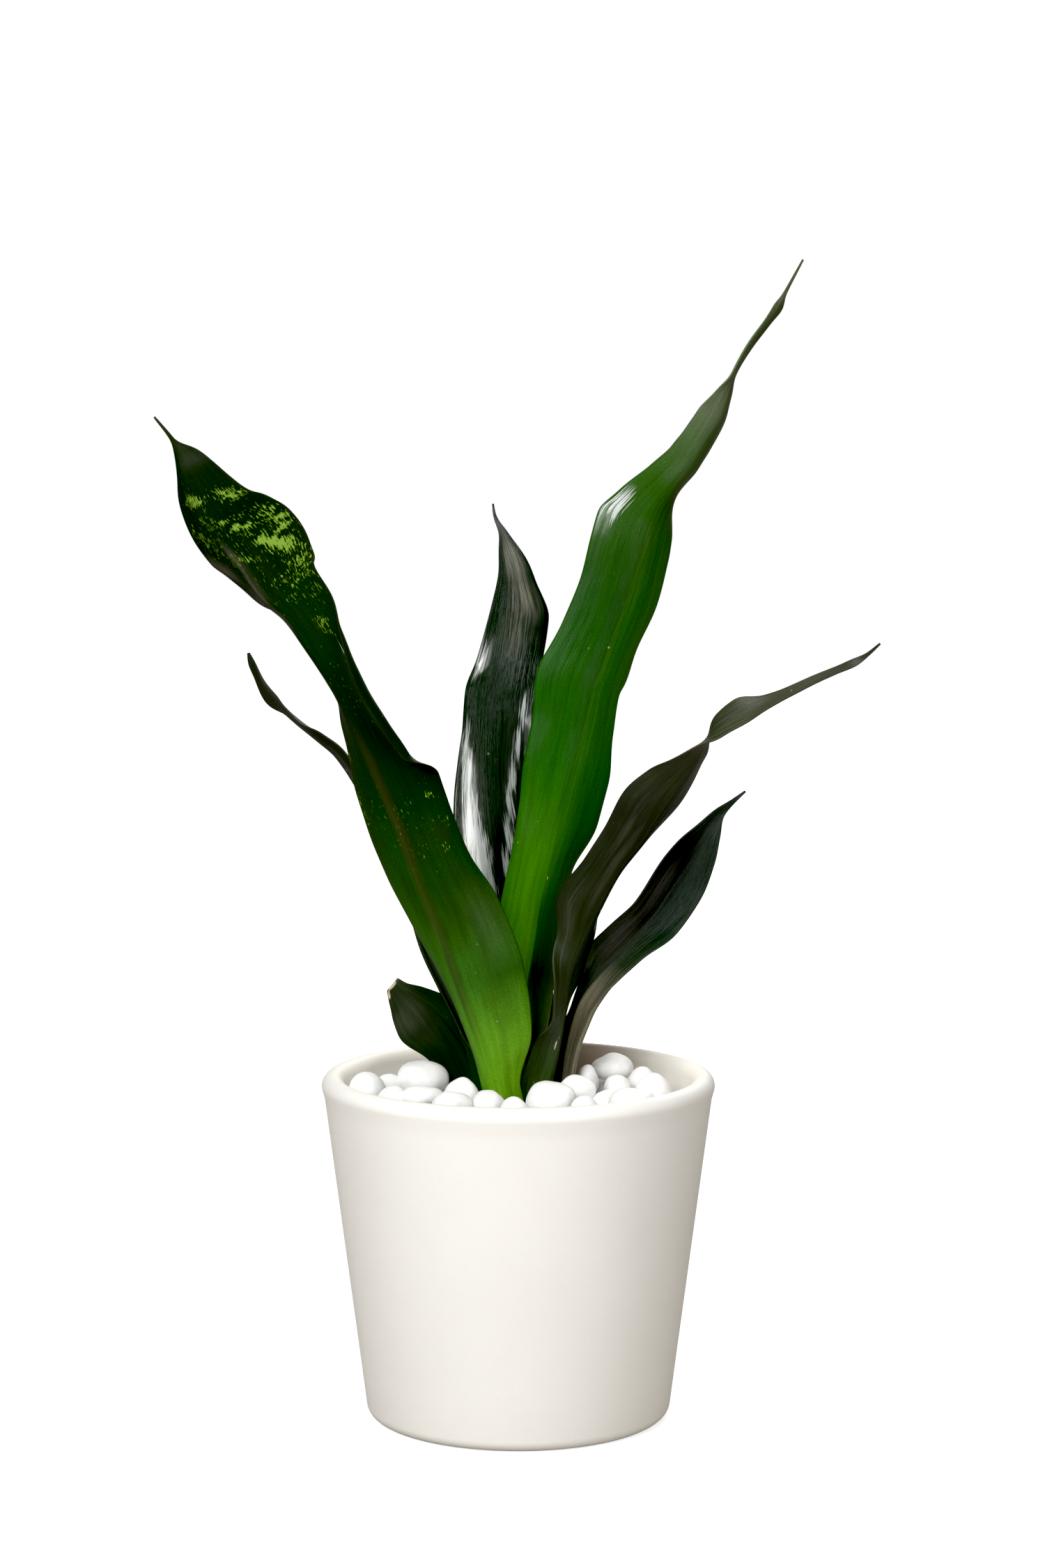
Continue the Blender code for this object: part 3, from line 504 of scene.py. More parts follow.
            (18, -10, 168, 10, 15, 55, 85, -60, -80), (23, -12, 183, 9.5, 13, 0, 20, -65, -80),
            (29, -15, 196.5, 16, 14, 0, -15, -88, -92), (36.5, -19, 211.5, 13, 15, 0, -15, -86, -90),
            (44, -22, 222, 14, 15, 0, -15, -80, -82), (51.5, -25, 233.5, 15.5, 15, 0, -15, -70, -74),
            (58.5, -28, 244, 12.5, 11, 0, -10, -66, -66), (63.5, -31, 252, 8.5, 8.5, 20, 20, -68, -68),
            (66.5, -33, 257.5, 7, 7, 50, 50, -62, -62), (68.5, -34, 261, 6, 6, 74, 74, -76, -76),
            (74.5, -36, 266.5, 4, 6.5, 125, 125, -140, -140),
            (83, -39, 271.5, 3.5, 7.5, 130, 130, -165, -165), (90.5, -42, 276, 3, 4, 120, 120, -145, -145),
            (98, -44, 280, 3, 3, 110, 110, -130, -130), (107, -47, 285, 2.4, 2.4, 120, 120, -120, -120),
            (115.5, -50, 289, 2, 2, 120, 120, -120, -120), (122, -52, 292, 1.6, 1.6, 150, 150, -150, -150),
            (126, -53, 294.5, 0.8, 0.8, 180, 180, -180, -180),
            (131, -54, 299, 0.4, 0.4, 180, 180, -180, -180),
        ],
        "look": {
            "seed": 4.0, "ribRounding": 2.6, "roughness": 0.4, "shine": 0.3, "fibreRelief": 0.12,
            "streakRelief": 0.3,
            "leftColours": [(0.0, (0.035, 0.085, 0.01)), (0.14, (0.028, 0.045, 0.014)),
                            (0.36, (0.01, 0.017, 0.004)), (0.53, (0.007, 0.01, 0.002)),
                            (0.66, (0.024, 0.03, 0.014)), (0.76, (0.045, 0.055, 0.026)),
                            (0.88, (0.06, 0.064, 0.044)), (1.0, (0.02, 0.02, 0.013))],
            "rightColours": [(0.0, (0.03, 0.08, 0.01)), (0.14, (0.02, 0.036, 0.009)),
                             (0.26, (0.008, 0.017, 0.005)), (0.36, (0.003, 0.013, 0.004)),
                             (0.55, (0.002, 0.01, 0.003)), (0.66, (0.016, 0.024, 0.011)),
                             (0.76, (0.04, 0.05, 0.024)), (0.88, (0.056, 0.062, 0.04)),
                             (1.0, (0.02, 0.02, 0.013))],
            "streaks": 0.35, "grain": 0.08, "patches": 0.2, "patchColour": (0.03, 0.03, 0.016),
            "midribWidth": 0.03, "midribStrength": 0.3, "midribColour": (0.05, 0.05, 0.035),
            "midribReach": (0.1, 0.3, 0.6, 0.8), "marginWidth": 0.014, "marginStrength": 0.4,
            "marginColour": (0.06, 0.05, 0.03), "bloomSheenColour": (0.11, 0.11, 0.085), "bloomSheenGap": 0.2,
            "scarColour": (0.6, 0.52, 0.4),
        },
        "marks": {
            "pale": [(-0.57, 0.074, 0.14, 0.012, 0.9)],
            # waxy bloom with painted grey sheen along the ridges
            "bloom": [(-0.6, 0.33, 0.2, 0.1, 0.3), (-0.2, 0.45, 0.15, 0.12, 0.25),
                      (-0.45, 0.52, 0.12, 0.1, 0.25)],
            "scar": [(-0.14, 0.141, 0.05, 0.014, 0.9), (-0.1, 0.155, 0.04, 0.01, 0.7),
                     (0.1, 0.37, 0.04, 0.005, 0.8)],
        },
    },
    "leaf_low_right": {
        "stations": [
            (15.5, 4, 110.3, 7, 6, -50, -60, 30, 120), (17, 4, 125.5, 7, 6.5, -50, -60, 20, 150),
            (19, 4, 140.5, 8, 8, -45, -60, 20, 160), (22.5, 3, 155.5, 4.5, 10, -60, -70, 0, 165),
            (28, 3, 165.5, 5, 10.5, -20, -40, 10, 150), (34, 4, 171.5, 11, 9, -5, 10, 50, 65),
            (41.5, 5, 179.5, 13, 10, 25, 40, 50, 60), (51.5, 7, 191, 15, 12.5, 48, 55, 28, 45),
            (60, 9, 203, 15, 12, 45, 52, 20, 35), (68, 11, 214.5, 11.5, 9, 35, 45, 30, 40),
            (73.5, 12, 223.5, 6, 5, 25, 35, 35, 45), (78, 13, 230, 3.2, 1.2, 20, 20, 20, 20),
            (82, 13, 234.5, 1, 1, 0, 0, 0, 0), (87, 14, 238.5, 0.4, 0.4, 0, 0, 0, 0),
        ],
        "look": {
            "seed": 5.0, "ribRounding": 3.0, "roughness": 0.38, "shine": 0.24, "coatRoughness": 0.12,
            "coatIor": 1.6, "glossGap": 0.3, "fibreRelief": 0.14, "streakRelief": 0.4, "waveRelief": 1.0,
            "leftColours": [(0.0, (0.008, 0.03, 0.006)), (0.3, (0.012, 0.028, 0.008)),
                            (0.52, (0.026, 0.03, 0.02)), (0.75, (0.004, 0.007, 0.003)),
                            (1.0, (0.006, 0.014, 0.006))],
            "rightColours": [(0.0, (0.16, 0.155, 0.095)), (0.34, (0.18, 0.17, 0.11)),
                             (0.46, (0.02, 0.035, 0.014)), (0.6, (0.004, 0.016, 0.005)),
                             (1.0, (0.004, 0.012, 0.004))],
            "streaks": 0.4, "grain": 0.25, "patches": 0.2, "patchColour": (0.012, 0.014, 0.01),
            "midribWidth": 0.04, "midribStrength": 0.3, "midribColour": (0.004, 0.008, 0.004),
            "midribReach": (0.3, 0.45, 0.8, 0.95), "marginWidth": 0.014, "marginStrength": 0.4,
            "marginColour": (0.05, 0.06, 0.05), "bloomSheenColour": (0.12, 0.115, 0.12), "bloomSheenGap": 0.2,
        },
        "marks": {
            # painted sheen: grey streaks on the upper flank
            "bloom": [(-0.45, 0.68, 0.3, 0.12, 0.4), (-0.5, 0.52, 0.35, 0.1, 0.35)],
        },
    },
    "leaf_thin_left": {
        "stations": [
            (-12.5, 1, 110.3, 6, 6, -110, -130, 50, 75), (-15.5, 1.5, 125, 6.5, 7, -110, -130, 50, 75),
            (-18, 2, 137, 7, 7, -105, -125, 60, 82), (-21.5, 2.5, 147.5, 7, 7.5, -100, -115, 85, 95),
            (-29, 3, 163.5, 8, 9, -95, -105, 88, 92), (-36.5, 4, 179.5, 9, 9, -90, -100, 86, 90),
            (-43, 6, 202, 10, 10, -85, -90, 80, 85), (-53.5, 8, 227, 10, 10, -80, -80, 75, 78),
            (-68.5, 10, 253, 9, 9.5, -75, -75, 70, 70), (-75.5, 11, 259, 8.5, 7, -74, -74, 70, 70),
            (-82.5, 12, 264, 8, 8, -76, -76, 86, 86), (-89, 13, 269.5, 6.5, 7.5, -76, -76, 80, 80),
            (-93.5, 14, 274, 8, 6.5, -60, -60, 72, 72), (-97.5, 14, 279.5, 5.5, 4.5, -60, -60, 74, 74),
            (-100, 15, 284, 2.6, 2.2, -50, -50, 60, 60), (-102, 15, 288, 1.4, 1.4, -20, -20, 20, 20),
            (-103, 15, 291.5, 0.5, 0.5, 0, 0, 0, 0),
        ],
        "look": {
            "seed": 6.0, "ribRounding": 2.0, "roughness": 0.5, "shine": 0.08, "fibreRelief": 0.1,
            "streakRelief": 0.3, "waveRelief": 0.6,
            "leftColours": [(0.0, (0.01, 0.04, 0.007)), (0.5, (0.004, 0.015, 0.003)),
                            (0.78, (0.009, 0.017, 0.006)), (1.0, (0.02, 0.028, 0.015))],
            "rightColours": [(0.0, (0.01, 0.04, 0.007)), (0.5, (0.004, 0.015, 0.003)),
                             (0.78, (0.009, 0.016, 0.006)), (1.0, (0.02, 0.026, 0.015))],
            "streaks": 0.25, "grain": 0.06, "patches": 0.1, "patchColour": (0.012, 0.018, 0.009),
            "midribWidth": 0.04, "midribStrength": 0.2, "midribColour": (0.03, 0.035, 0.02),
            "midribReach": (0.2, 0.4, 0.8, 0.95), "marginWidth": 0.02, "marginStrength": 0.3,
            "marginColour": (0.07, 0.07, 0.045), "bloomSheenColour": (0.13, 0.13, 0.1), "specks": 0.2,
        },
        "marks": {
            # waxy bloom with painted sheen on the upper blade
            "bloom": [(0.2, 0.66, 0.4, 0.14, 0.5), (0.8, 0.92, 0.4, 0.05, 0.3)],
        },
    },
    "leaf_short_left": {
        "stations": [
            (-16.5, 14, 110.3, 8, 8, -5, -10, -5, -10), (-17.5, 14, 121.5, 11, 10, -5, -10, -5, -10),
            (-24, 13.5, 137, 10.5, 14, -5, -10, -5, -10), (-33, 13, 151, 15.5, 10.5, -5, -10, -5, -10),
            (-40.5, 12, 159, 12, 5.5, -5, -10, -5, -10), (-45, 11, 162.5, 7.5, 3, 0, 0, 0, 0),
            (-48, 11, 165, 4, 2.5, 0, 0, 0, 0),
        ],
        "look": {
            "seed": 7.0, "ribRounding": 3.0, "roughness": 0.36, "shine": 0.35, "fibreRelief": 0.08,
            "streakRelief": 0.25,
            "leftColours": [(0.0, (0.012, 0.04, 0.004)), (0.5, (0.006, 0.019, 0.002)),
                            (0.8, (0.011, 0.022, 0.005)), (1.0, (0.013, 0.024, 0.007))],
            "rightColours": [(0.0, (0.01, 0.036, 0.004)), (0.5, (0.006, 0.02, 0.002)),
                             (0.8, (0.012, 0.026, 0.005)), (1.0, (0.02, 0.034, 0.01))],
            "streaks": 0.3, "grain": 0.25, "patches": 0.25, "patchColour": (0.018, 0.03, 0.01),
            "midribWidth": 0.03, "midribStrength": 0.15, "midribColour": (0.02, 0.03, 0.014),
            "midribReach": (0.2, 0.4, 0.8, 0.95), "marginWidth": 0.012, "marginStrength": 0.3,
            "marginColour": (0.05, 0.05, 0.03), "bloomSheenColour": (0.11, 0.12, 0.085),
            "scarColour": (0.5, 0.42, 0.28),
        },
        "marks": {
            # waxy bloom with painted sheen
            "bloom": [(-0.5, 0.8, 0.7, 0.15, 0.35)],
            "scar": [(-0.2, 0.995, 1.0, 0.022, 1.0), (-0.85, 0.97, 0.2, 0.03, 0.8)],
        },
    },
}

# lengths in mm; leaves as wide as fullWidth or fibreWidth get the full thickness or the full relief
blade = {"rowSpacing": 2.2, "flankColumns": 14, "columnGrowth": 1.25, "leastWidth": 0.2,
         "midrib": 3.0, "margin": 0.8, "tip": 0.4, "marginGrowth": 1.6, "thinning": 0.4,
         "fullWidth": 16.0, "fibreWidth": 30.0, "ribShare": 0.35, "ribGrowth": 0.02,
         "footLength": 12.0, "ripple": 0.35, "rippleScale": 0.045}


def slopes(places, values):
    # slopes of a curve through the values that never overshoots them
    steps = [(values[i + 1] - values[i]) / (places[i + 1] - places[i]) for i in range(len(values) - 1)]
    found = [steps[0]]
    for before, after in zip(steps, steps[1:]):
        found.append(0.0 if before * after <= 0 else 2.0 * before * after / (before + after))
    return found + [steps[-1]]


def smoothRows(stations, spacing):
    places = [0.0]
    for before, after in zip(stations, stations[1:]):
        places.append(places[-1] + (Vector(after[:3]) - Vector(before[:3])).length)
    columns = [[float(row[i]) for row in stations] for i in range(9)]
    leans = [slopes(places, column) for column in columns]
    count = round(places[-1] / spacing)
    rows = []
    part = 0
    for step in range(count + 1):
        at = places[-1] * step / count
        while part < len(places) - 2 and at > places[part + 1]:
            part += 1
        gap = places[part + 1] - places[part]
        t = (at - places[part]) / gap
        t2, t3 = t * t, t * t * t
        row = []
        for column, lean in zip(columns, leans):
            row.append((2 * t3 - 3 * t2 + 1) * column[part] + (t3 - 2 * t2 + t) * gap * lean[part]
                       + (3 * t2 - 2 * t3) * column[part + 1] + (t3 - t2) * gap * lean[part + 1])
        rows.append((at / places[-1], at, row))
    return rows, places[-1]


def flankPoints(width, root, margin, lean, ribRounding, curl):
    # runs out along one flank in small steps, starting at the rounded midrib's slant
    count = blade["flankColumns"]
    rounding = min(ribRounding, (blade["ribShare"] + blade["ribGrowth"] * ribRounding) * width)
    out = ahead = reached = 0.0
    points = []
    for step in range(1, count + 1):
        share = (step / count) ** blade["columnGrowth"]
        middle = 0.5 * (share + reached)
        bend = root + (margin - root) * middle ** curl
        near = max(0.0, 1.0 - middle * width / rounding)
        bend += (lean - root) * near * near * (3.0 - 2.0 * near)
        length = width * (share - reached)
        out += math.cos(math.radians(bend)) * length
        ahead += math.sin(math.radians(bend)) * length
        reached = share
        points.append((out, ahead, share))
    return points


def markStrength(marks, across, along, slant):
    # the strongest of a layer's soft marks at one place of the blade; a mark may have a slant of its own
    best = 0.0
    for middle, height, reachAcross, reachAlong, strength, *own in marks:
        rise = along - height + (own[0] if own else slant) * (across - middle)
        far = math.hypot((across - middle) / reachAcross, rise / reachAlong)
        if far < 1.0:
            best = max(best, strength * (1.0 - far * far) ** 1.5)
    return best


def buildLeaf(name, leaf):
    rows, length = smoothRows(leaf["stations"], blade["rowSpacing"])
    columns = 2 * blade["flankColumns"]
    deselectAll()
    bpy.ops.mesh.primitive_grid_add(x_subdivisions=columns, y_subdivisions=len(rows) - 1, size=1.0)
    piece = bpy.context.object
    piece.name = name.replace("leaf", "blade")
    thickness = piece.vertex_groups.new(name="thickness")
    look = {**usualLook, **leaf["look"]}
    seed, rounding, curl, least = look["seed"], look["ribRounding"], look["curl"], blade["leastWidth"]
    places, weights, spots, breadths = [], [], [], []
    for index, (share, along, row) in enumerate(rows):
        before, after = rows[max(index - 1, 0)][2], rows[min(index + 1, len(rows) - 1)][2]
        tangent = (Vector(after[:3]) - Vector(before[:3])).normalized()
        foot = max(0.0, 1.0 - along / blade["footLength"])
        tangent = tangent.lerp(Vector((0.0, 0.0, 1.0)), foot).normalized()
        across = tangent.cross(Vector((0.0, -1.0, 0.0))).normalized()
        forward = across.cross(tangent).normalized()
        centre = Vector(row[:3])
        leftWidth, rightWidth, leftRoot, leftMargin, rightRoot, rightMargin = row[3:]
        lean = (rightRoot - leftRoot) / 2.0
        flank = flankPoints(max(leftWidth, least), leftRoot, leftMargin, -lean, rounding, curl)
        left = [(centre - across * out + forward * ahead, t) for out, ahead, t in flank]
        flank = flankPoints(max(rightWidth, least), rightRoot, rightMargin, lean, rounding, curl)
        right = [(centre + across * out + forward * ahead, t) for out, ahead, t in flank]
        narrow = min(1.0, (leftWidth + rightWidth) / blade["fullWidth"])
        deep = blade["tip"] + (blade["midrib"] - blade["tip"]) * narrow * (1.0 - blade["thinning"] * share)
        for side, line in ((-1.0, left[::-1]), (0.0, [(centre, 0.0)]), (1.0, right)):
            for place, t in line:
                wave = noise.noise(Vector((along * blade["rippleScale"], side * 3.0 + seed * 7.0, t * 0.8)))
                places.append((place + forward * wave * blade["ripple"] * t * narrow) * mm)
                thin = min(deep, blade["margin"])
                weights.append((deep + (thin - deep) * t ** blade["marginGrowth"]) / blade["midrib"])
                spots.append((side * t, share))
                breadths.append(min(1.0, (leftWidth + rightWidth) / blade["fibreWidth"]))
    piece.data.vertices.foreach_set("co", [value for place in places for value in place])
    for index, weight in enumerate(weights):
        thickness.add([index], weight, "REPLACE")
    slant = leaf["marks"].get("slant", 0.0)
    layers = {"breadth": breadths}
    # layers of soft marks; one is waxy bloom with painted sheen, one is painted highlight streaks
    for layer in ("pale", "bloom", "scar", "gloss", "sheen"):
        marks = leaf["marks"].get(layer, [])
        layers[layer] = [markStrength(marks, across, height, slant) for across, height in spots]
    for layer, values in layers.items():
        piece.data.attributes.new(layer, "FLOAT", "POINT").data.foreach_set("value", values)
    wall = piece.modifiers.new("wall", "SOLIDIFY")
    wall.thickness = blade["midrib"] * mm
    wall.offset = 0.0
    wall.vertex_group = "thickness"
    wall.use_quality_normals = True
    subdivide(piece, 1)
    applyAll(piece)
    faceOutwards(piece)
    bpy.ops.object.shade_smooth()
    # the painted highlight streaks are on the front face only
    for vertex, point in zip(piece.data.vertices, piece.data.attributes["sheen"].data):
        if vertex.normal.y > 0.0:
            point.value = 0.0
    piece.data.materials.clear()
    piece.data.materials.append(leafMaterial(name.replace("leaf_", ""), look, length * mm))
    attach(piece, "root")
    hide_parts(name)
    return piece


blades = {name: buildLeaf(name, leaf) for name, leaf in leaves.items()}
print("leaves done")


# the pot is turned ring by ring from its foot, over the lip and down inside
pot = {"height": 132.0, "rim": 75.0, "lip": 4.3, "lipStandOut": 0.8, "foot": 57.7, "footRounding": 5.0,
       "wall": 6.8, "floor": 7.0, "innerRounding": 8.0, "floorRings": (0.6, 0.25), "sides": 160,
       "smoothAngle": 50.0, "insideReach": 2.5, "insideStart": 1.2, "insideAbove": 30.0,
       "shadowTurn": 18.0, "shadowReach": 34.0}
shoulder = pot["height"] - 1.5 * pot["lip"]


def arcPoints(centre, radius, start, end, steps):
    turns = [math.radians(start + (end - start) * i / steps) for i in range(steps + 1)]
    return [(centre[0] + radius * math.cos(turn), centre[1] + radius * math.sin(turn)) for turn in turns]


def outerRadius(height):
    return pot["foot"] + (pot["rim"] - pot["lipStandOut"] - pot["foot"]) * height / shoulder


def potProfile():
    outer = outerRadius
    lipCentre = (pot["rim"] - pot["lip"], pot["height"] - pot["lip"])
    foot = pot["footRounding"]
    points = arcPoints((outer(foot) - foot, foot), foot, -90.0, -6.0, 7)
    points += [(outer(z), z) for z in (20.0, 40.0, 60.0, 80.0, 100.0, 115.0, 120.0, shoulder - 2.6)]
    points += arcPoints(lipCentre, pot["lip"], -14.0, 180.0, 14)
    points += [(outer(z) - pot["wall"], z) for z in (121.0, 100.0, 70.0, 40.0)]
    corner = pot["floor"] + pot["innerRounding"]
    inner = outer(corner) - pot["wall"] - pot["innerRounding"]
    return points + arcPoints((inner, corner), pot["innerRounding"], -5.0, -90.0, 5)


def buildPot():
    profile = potProfile()
    radius, height = profile[0]
    deselectAll()
    bpy.ops.mesh.primitive_circle_add(vertices=pot["sides"], radius=radius * mm, fill_type="NGON",
                                      location=(0, 0, height * mm))
    piece = bpy.context.object
    piece.name = "potTurned"
    settle(piece)
    bpy.ops.object.mode_set(mode="EDIT")
    bpy.ops.mesh.select_all(action="SELECT")
    for newRadius, newHeight in profile[1:]:
        rise = (newHeight - height) * mm
        bpy.ops.mesh.extrude_region_move(TRANSFORM_OT_translate={"value": (0, 0, rise)})
        share = newRadius / radius
        bpy.ops.transform.resize(value=(share, share, 1.0), center_override=(0, 0, newHeight * mm))
        radius, height = newRadius, newHeight
    for share in pot["floorRings"]:
        bpy.ops.mesh.inset(thickness=radius * mm * (1.0 - share))
        radius *= share
    faceOutwards(piece)
    bpy.ops.object.shade_smooth_by_angle(angle=math.radians(pot["smoothAngle"]))
    # how far a point is inside the outer wall, for the inner wall's painted light: a lighter, warmer glaze
    # there
    behind = []
    for vertex in piece.data.vertices:
        depth = outerRadius(vertex.co.z / mm) - vertex.co.xy.length / mm
        share = min(1.0, max(0.0, depth / pot["insideReach"] - pot["insideStart"]))
        behind.append(share if vertex.co.z > pot["insideAbove"] * mm else 0.0)
    piece.data.attributes.new("inside", "FLOAT", "POINT").data.foreach_set("value", behind)
    # painted shadow of the leaves: brown, low on the inner wall behind them
    paintedShadow = []
    for vertex, share in zip(piece.data.vertices, behind):
        turn = math.degrees(math.atan2(vertex.co.x, vertex.co.y))
        near = max(0.0, 1.0 - abs(turn - pot["shadowTurn"]) / pot["shadowReach"])
        paintedShadow.append(share * near * (2.0 - near))
    piece.data.attributes.new("shaded", "FLOAT", "POINT").data.foreach_set("value", paintedShadow)
    return piece


def potMaterial():
    material, tree, shader = newMaterial("creamGlaze")
    place = objectPlace(tree)
    cloud = noiseOf(tree, place, 26.0, 3.0, 0.5)
    grain = noiseOf(tree, place, 1500.0, 2.0, 0.6)
    colour = mixColours(tree, between(tree, cloud, 0.3, 0.7), (0.868, 0.866, 0.838), (0.848, 0.845, 0.81))
    dots = addNode(tree, "ShaderNodeTexVoronoi", Vector=place, Scale=700.0).outputs["Distance"]
    colour = mixColours(tree, times(tree, between(tree, dots, 0.2, 0.05), 0.2), colour, (0.6, 0.5, 0.36))
    # painted light: a lighter, warmer copy of the glaze on the shaded inner wall
    inside = painted(tree, "inside")
    colour = mixColours(tree, inside, colour, (0.985, 0.95, 0.87))
    # painted shadow: the inner wall goes brown behind the leaves
    shaded = painted(tree, "shaded")
    colour = mixColours(tree, shaded, colour, (0.2, 0.155, 0.105))
    fill(tree, shader.inputs["Base Color"], colour)
    fill(tree, shader.inputs["Roughness"], between(tree, cloud, 0.2, 0.8, 0.5, 0.6))
    shader.inputs["Specular IOR Level"].default_value = 0.4
    relief = plus(tree, times(tree, grain, 0.5), times(tree, cloud, 2.0))
    roughen(tree, shader, 0.12, 0.0003, relief)
    return material


turnedPot = buildPot()
turnedPot.data.materials.append(potMaterial())
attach(turnedPot, "root")
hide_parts("pot")
print("pot done")


# the stones keep their places; each is a smoothed copy of its rough solid
stones = {"levels": 2, "swell": 1.1, "lump": 2.0, "lumpSize": 95.0, "dent": 0.35, "dentSize": 260.0}


def stoneMaterial():
    material, tree, shader = newMaterial("whiteStone")
    place = objectPlace(tree)
    cloud = noiseOf(tree, place, 120.0, 4.0, 0.6, 0.4)
    grain = noiseOf(tree, place, 2200.0, 3.0, 0.7)
    colour = mixColours(tree, between(tree, cloud, 0.35, 0.75), (0.92, 0.92, 0.915), (0.8, 0.8, 0.785))
    colour = mixColours(tree, times(tree, between(tree, grain, 0.6, 0.75), 0.25), colour, (0.7, 0.69, 0.66))
    fill(tree, shader.inputs["Base Color"], colour)
    fill(tree, shader.inputs["Roughness"], between(tree, cloud, 0.3, 0.7, 0.5, 0.65))
    shader.inputs["Subsurface Weight"].default_value = 0.25
    shader.inputs["Subsurface Radius"].default_value = (0.003, 0.003, 0.0028)
    shader.inputs["Subsurface Scale"].default_value = 1.0
    roughen(tree, shader, 0.3, 0.0002, grain)
    return material


def buildStone(node, material):
    piece = node.copy()
    piece.data = node.data.copy()
    piece.name = node.name.replace("pebble", "stone")
    bpy.context.scene.collection.objects.link(piece)
    makeActive(piece)
    bpy.ops.object.mode_set(mode="EDIT")
    bpy.ops.mesh.select_all(action="SELECT")
    bpy.ops.mesh.remove_doubles(threshold=0.00001)
    bpy.ops.object.mode_set(mode="OBJECT")
    subdivide(piece, stones["levels"])
    applyAll(piece)
    spots = [(vertex.co.copy(), vertex.normal.copy()) for vertex in piece.data.vertices]
    moved = []
    for spot, outwards in spots:
        lump = noise.noise(spot * stones["lumpSize"]) * stones["lump"]
        lump += noise.noise(spot * stones["dentSize"]) * stones["dent"]
        moved.extend(spot + outwards * (stones["swell"] + lump) * mm)
    piece.data.vertices.foreach_set("co", moved)
    bpy.ops.object.shade_smooth()
    piece.data.materials.clear()
    piece.data.materials.append(material)
    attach(piece, "root")
    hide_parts(node.name)
    return piece


whiteStone = stoneMaterial()
for name in sorted(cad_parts):
    if name.startswith("pebble"):
        buildStone(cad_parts[name], whiteStone)
print("stones done")


# soil and rhizome keep their solids and take earthy skins
def soilMaterial():
    material, tree, shader = newMaterial("pottingMix")
    place = objectPlace(tree)
    clods = noiseOf(tree, place, 260.0, 5.0, 0.7)
    crumbs = addNode(tree, "ShaderNodeTexVoronoi", Vector=place, Scale=420.0)
    tone = addNode(tree, "ShaderNodeSeparateColor", Color=crumbs.outputs["Color"]).outputs[0]
    tones = [(0.3, (0.012, 0.007, 0.004)), (0.55, (0.035, 0.02, 0.011)), (0.8, (0.075, 0.045, 0.025))]
    colour = ramp(tree, clods, tones)
    colour = mixColours(tree, between(tree, tone, 0.86, 0.98), colour, (0.16, 0.1, 0.055))
    fill(tree, shader.inputs["Base Color"], colour)
    shader.inputs["Roughness"].default_value = 0.95
    height = plus(tree, clods, times(tree, crumbs.outputs["Distance"], -0.6))
    roughen(tree, shader, 1.0, 0.0012, height)
    return material


def rhizomeMaterial():
    material, tree, shader = newMaterial("rootStock")
    place = objectPlace(tree)
    rings = addNode(tree, "ShaderNodeTexWave", {"wave_type": "RINGS", "rings_direction": "Z"}, Vector=place,
                    Scale=60.0, Distortion=3.0, Detail=2.0)
    colour = mixColours(tree, rings.outputs["Fac"], (0.5, 0.36, 0.2), (0.28, 0.17, 0.08))
    fill(tree, shader.inputs["Base Color"], colour)
    shader.inputs["Roughness"].default_value = 0.75
    roughen(tree, shader, 0.5, 0.0006, rings.outputs["Fac"])
    return material


def dress(node, material):
    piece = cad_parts[node]
    piece.data.materials.clear()
    piece.data.materials.append(material)


dress("soil", soilMaterial())
dress("rhizome", rhizomeMaterial())
print("soil done")


# a plain pale floor and soft boxes; the surround is dim, so the leaves stay deep
studio = {
    "floorSize": 4.0,
    "surround": (1.0, 0.95, 0.88), "front": 0.13, "behind": 0.27,
    # turn from the front towards the right, rise above level (degrees), reach (m), width, height, power, tint
    "boxes": {
        "key": (-33, 34, 1.7, 1.1, 0.9, 24.0, (1.0, 1.0, 1.0)),
        "topFill": (15, 72, 1.5, 0.8, 0.8, 5.0, (1.0, 0.99, 0.97)),
        "rightBox": (28, 14, 1.35, 0.42, 0.85, 6.8, (1.0, 0.99, 0.97)),
        "leftStrip": (-36, 15, 1.35, 0.2, 0.85, 1.8, (1.0, 1.0, 1.0)),
        "backFill": (165, 35, 1.8, 0.9, 0.9, 14.0, (1.0, 0.98, 0.95)),
    },
    "aim": (0.0, 0.0, 0.2), "blackLevel": 0.014,
}


def softBox(name, turn, rise, reach, width, height, power, tint):
    turn, rise = math.radians(turn), math.radians(rise)
    away = Vector((math.sin(turn) * math.cos(rise), -math.cos(turn) * math.cos(rise), math.sin(rise)))
    data = bpy.data.lights.new(name, "AREA")
    data.shape = "RECTANGLE"
    data.size, data.size_y = width, height
    data.energy = power
    data.color = tint
    light = bpy.data.objects.new(name, data)
    bpy.context.scene.collection.objects.link(light)
    light.location = Vector(studio["aim"]) + away * reach
    light.rotation_euler = away.to_track_quat("Z", "Y").to_euler()


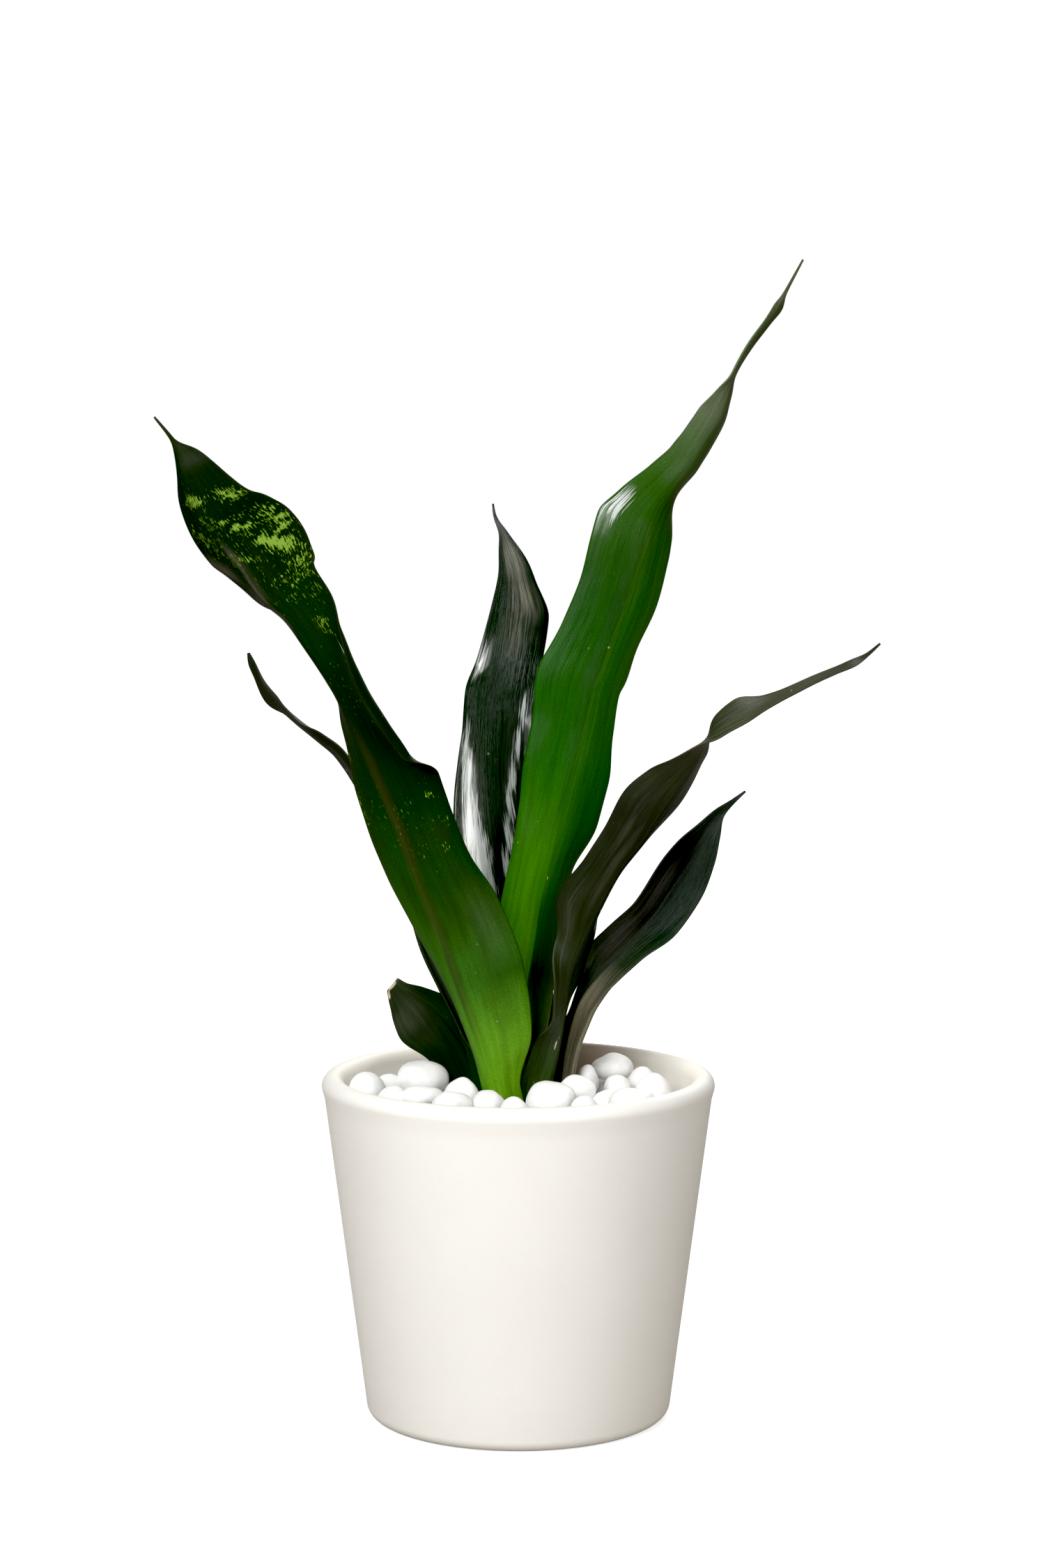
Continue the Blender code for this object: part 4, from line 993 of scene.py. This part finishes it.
def buildFloor():
    deselectAll()
    bpy.ops.mesh.primitive_circle_add(vertices=96, radius=studio["floorSize"], fill_type="NGON")
    floor = bpy.context.object
    floor.name = "paleFloor"
    material, tree, shader = newMaterial("palePaint")
    seen = addNode(tree, "ShaderNodeLightPath").outputs["Is Camera Ray"]
    fill(tree, shader.inputs["Base Color"], mixColours(tree, seen, (0.4, 0.36, 0.32), (0.6, 0.6, 0.6)))
    shader.inputs["Roughness"].default_value = 0.9
    shader.inputs["Specular IOR Level"].default_value = 0.0
    shader.inputs["Emission Color"].default_value = (1.0, 1.0, 1.0, 1.0)
    place = objectPlace(tree)
    reach = addNode(tree, "ShaderNodeVectorMath", {"operation": "LENGTH"})
    fill(tree, reach.inputs[0], place)
    glow = between(tree, reach.outputs["Value"], 0.1, 0.7, 0.72, 1.0)
    fill(tree, shader.inputs["Emission Strength"], times(tree, glow, seen))
    floor.data.materials.append(material)


def buildSurround():
    world = bpy.data.worlds.new("surround")
    bpy.context.scene.world = world
    world.use_nodes = True
    tree = world.node_tree
    sky = tree.nodes["Background"]
    place = addNode(tree, "ShaderNodeTexCoord").outputs["Generated"]
    direction = addNode(tree, "ShaderNodeSeparateXYZ", Vector=place)
    glow = between(tree, direction.outputs[1], -0.2, 0.6, studio["front"], studio["behind"])
    dim = scaled(tree, studio["surround"], glow)
    seen = addNode(tree, "ShaderNodeLightPath").outputs["Is Camera Ray"]
    fill(tree, sky.inputs["Color"], mixColours(tree, seen, dim, (1.0, 1.0, 1.0)))
    sky.inputs["Strength"].default_value = 1.0


buildFloor()
buildSurround()
for name, values in studio["boxes"].items():
    softBox(name, *values)

view = {"place": (0.0016, -1.3, 0.3703), "pitch": 5.61, "lens": 79.2256, "sensor": 36.0}


def buildCamera():
    data = bpy.data.cameras.new("studioCamera")
    data.sensor_width = view["sensor"]
    data.lens = view["lens"]
    camera = bpy.data.objects.new("studioCamera", data)
    bpy.context.scene.collection.objects.link(camera)
    camera.location = view["place"]
    camera.rotation_euler = (math.radians(90.0 - view["pitch"]), 0.0, 0.0)
    bpy.context.scene.camera = camera


buildCamera()
finish = bpy.context.scene.view_settings
finish.view_transform = "Standard"
finish.use_curve_mapping = True
finish.curve_mapping.black_level = (studio["blackLevel"],) * 3
print("studio done")
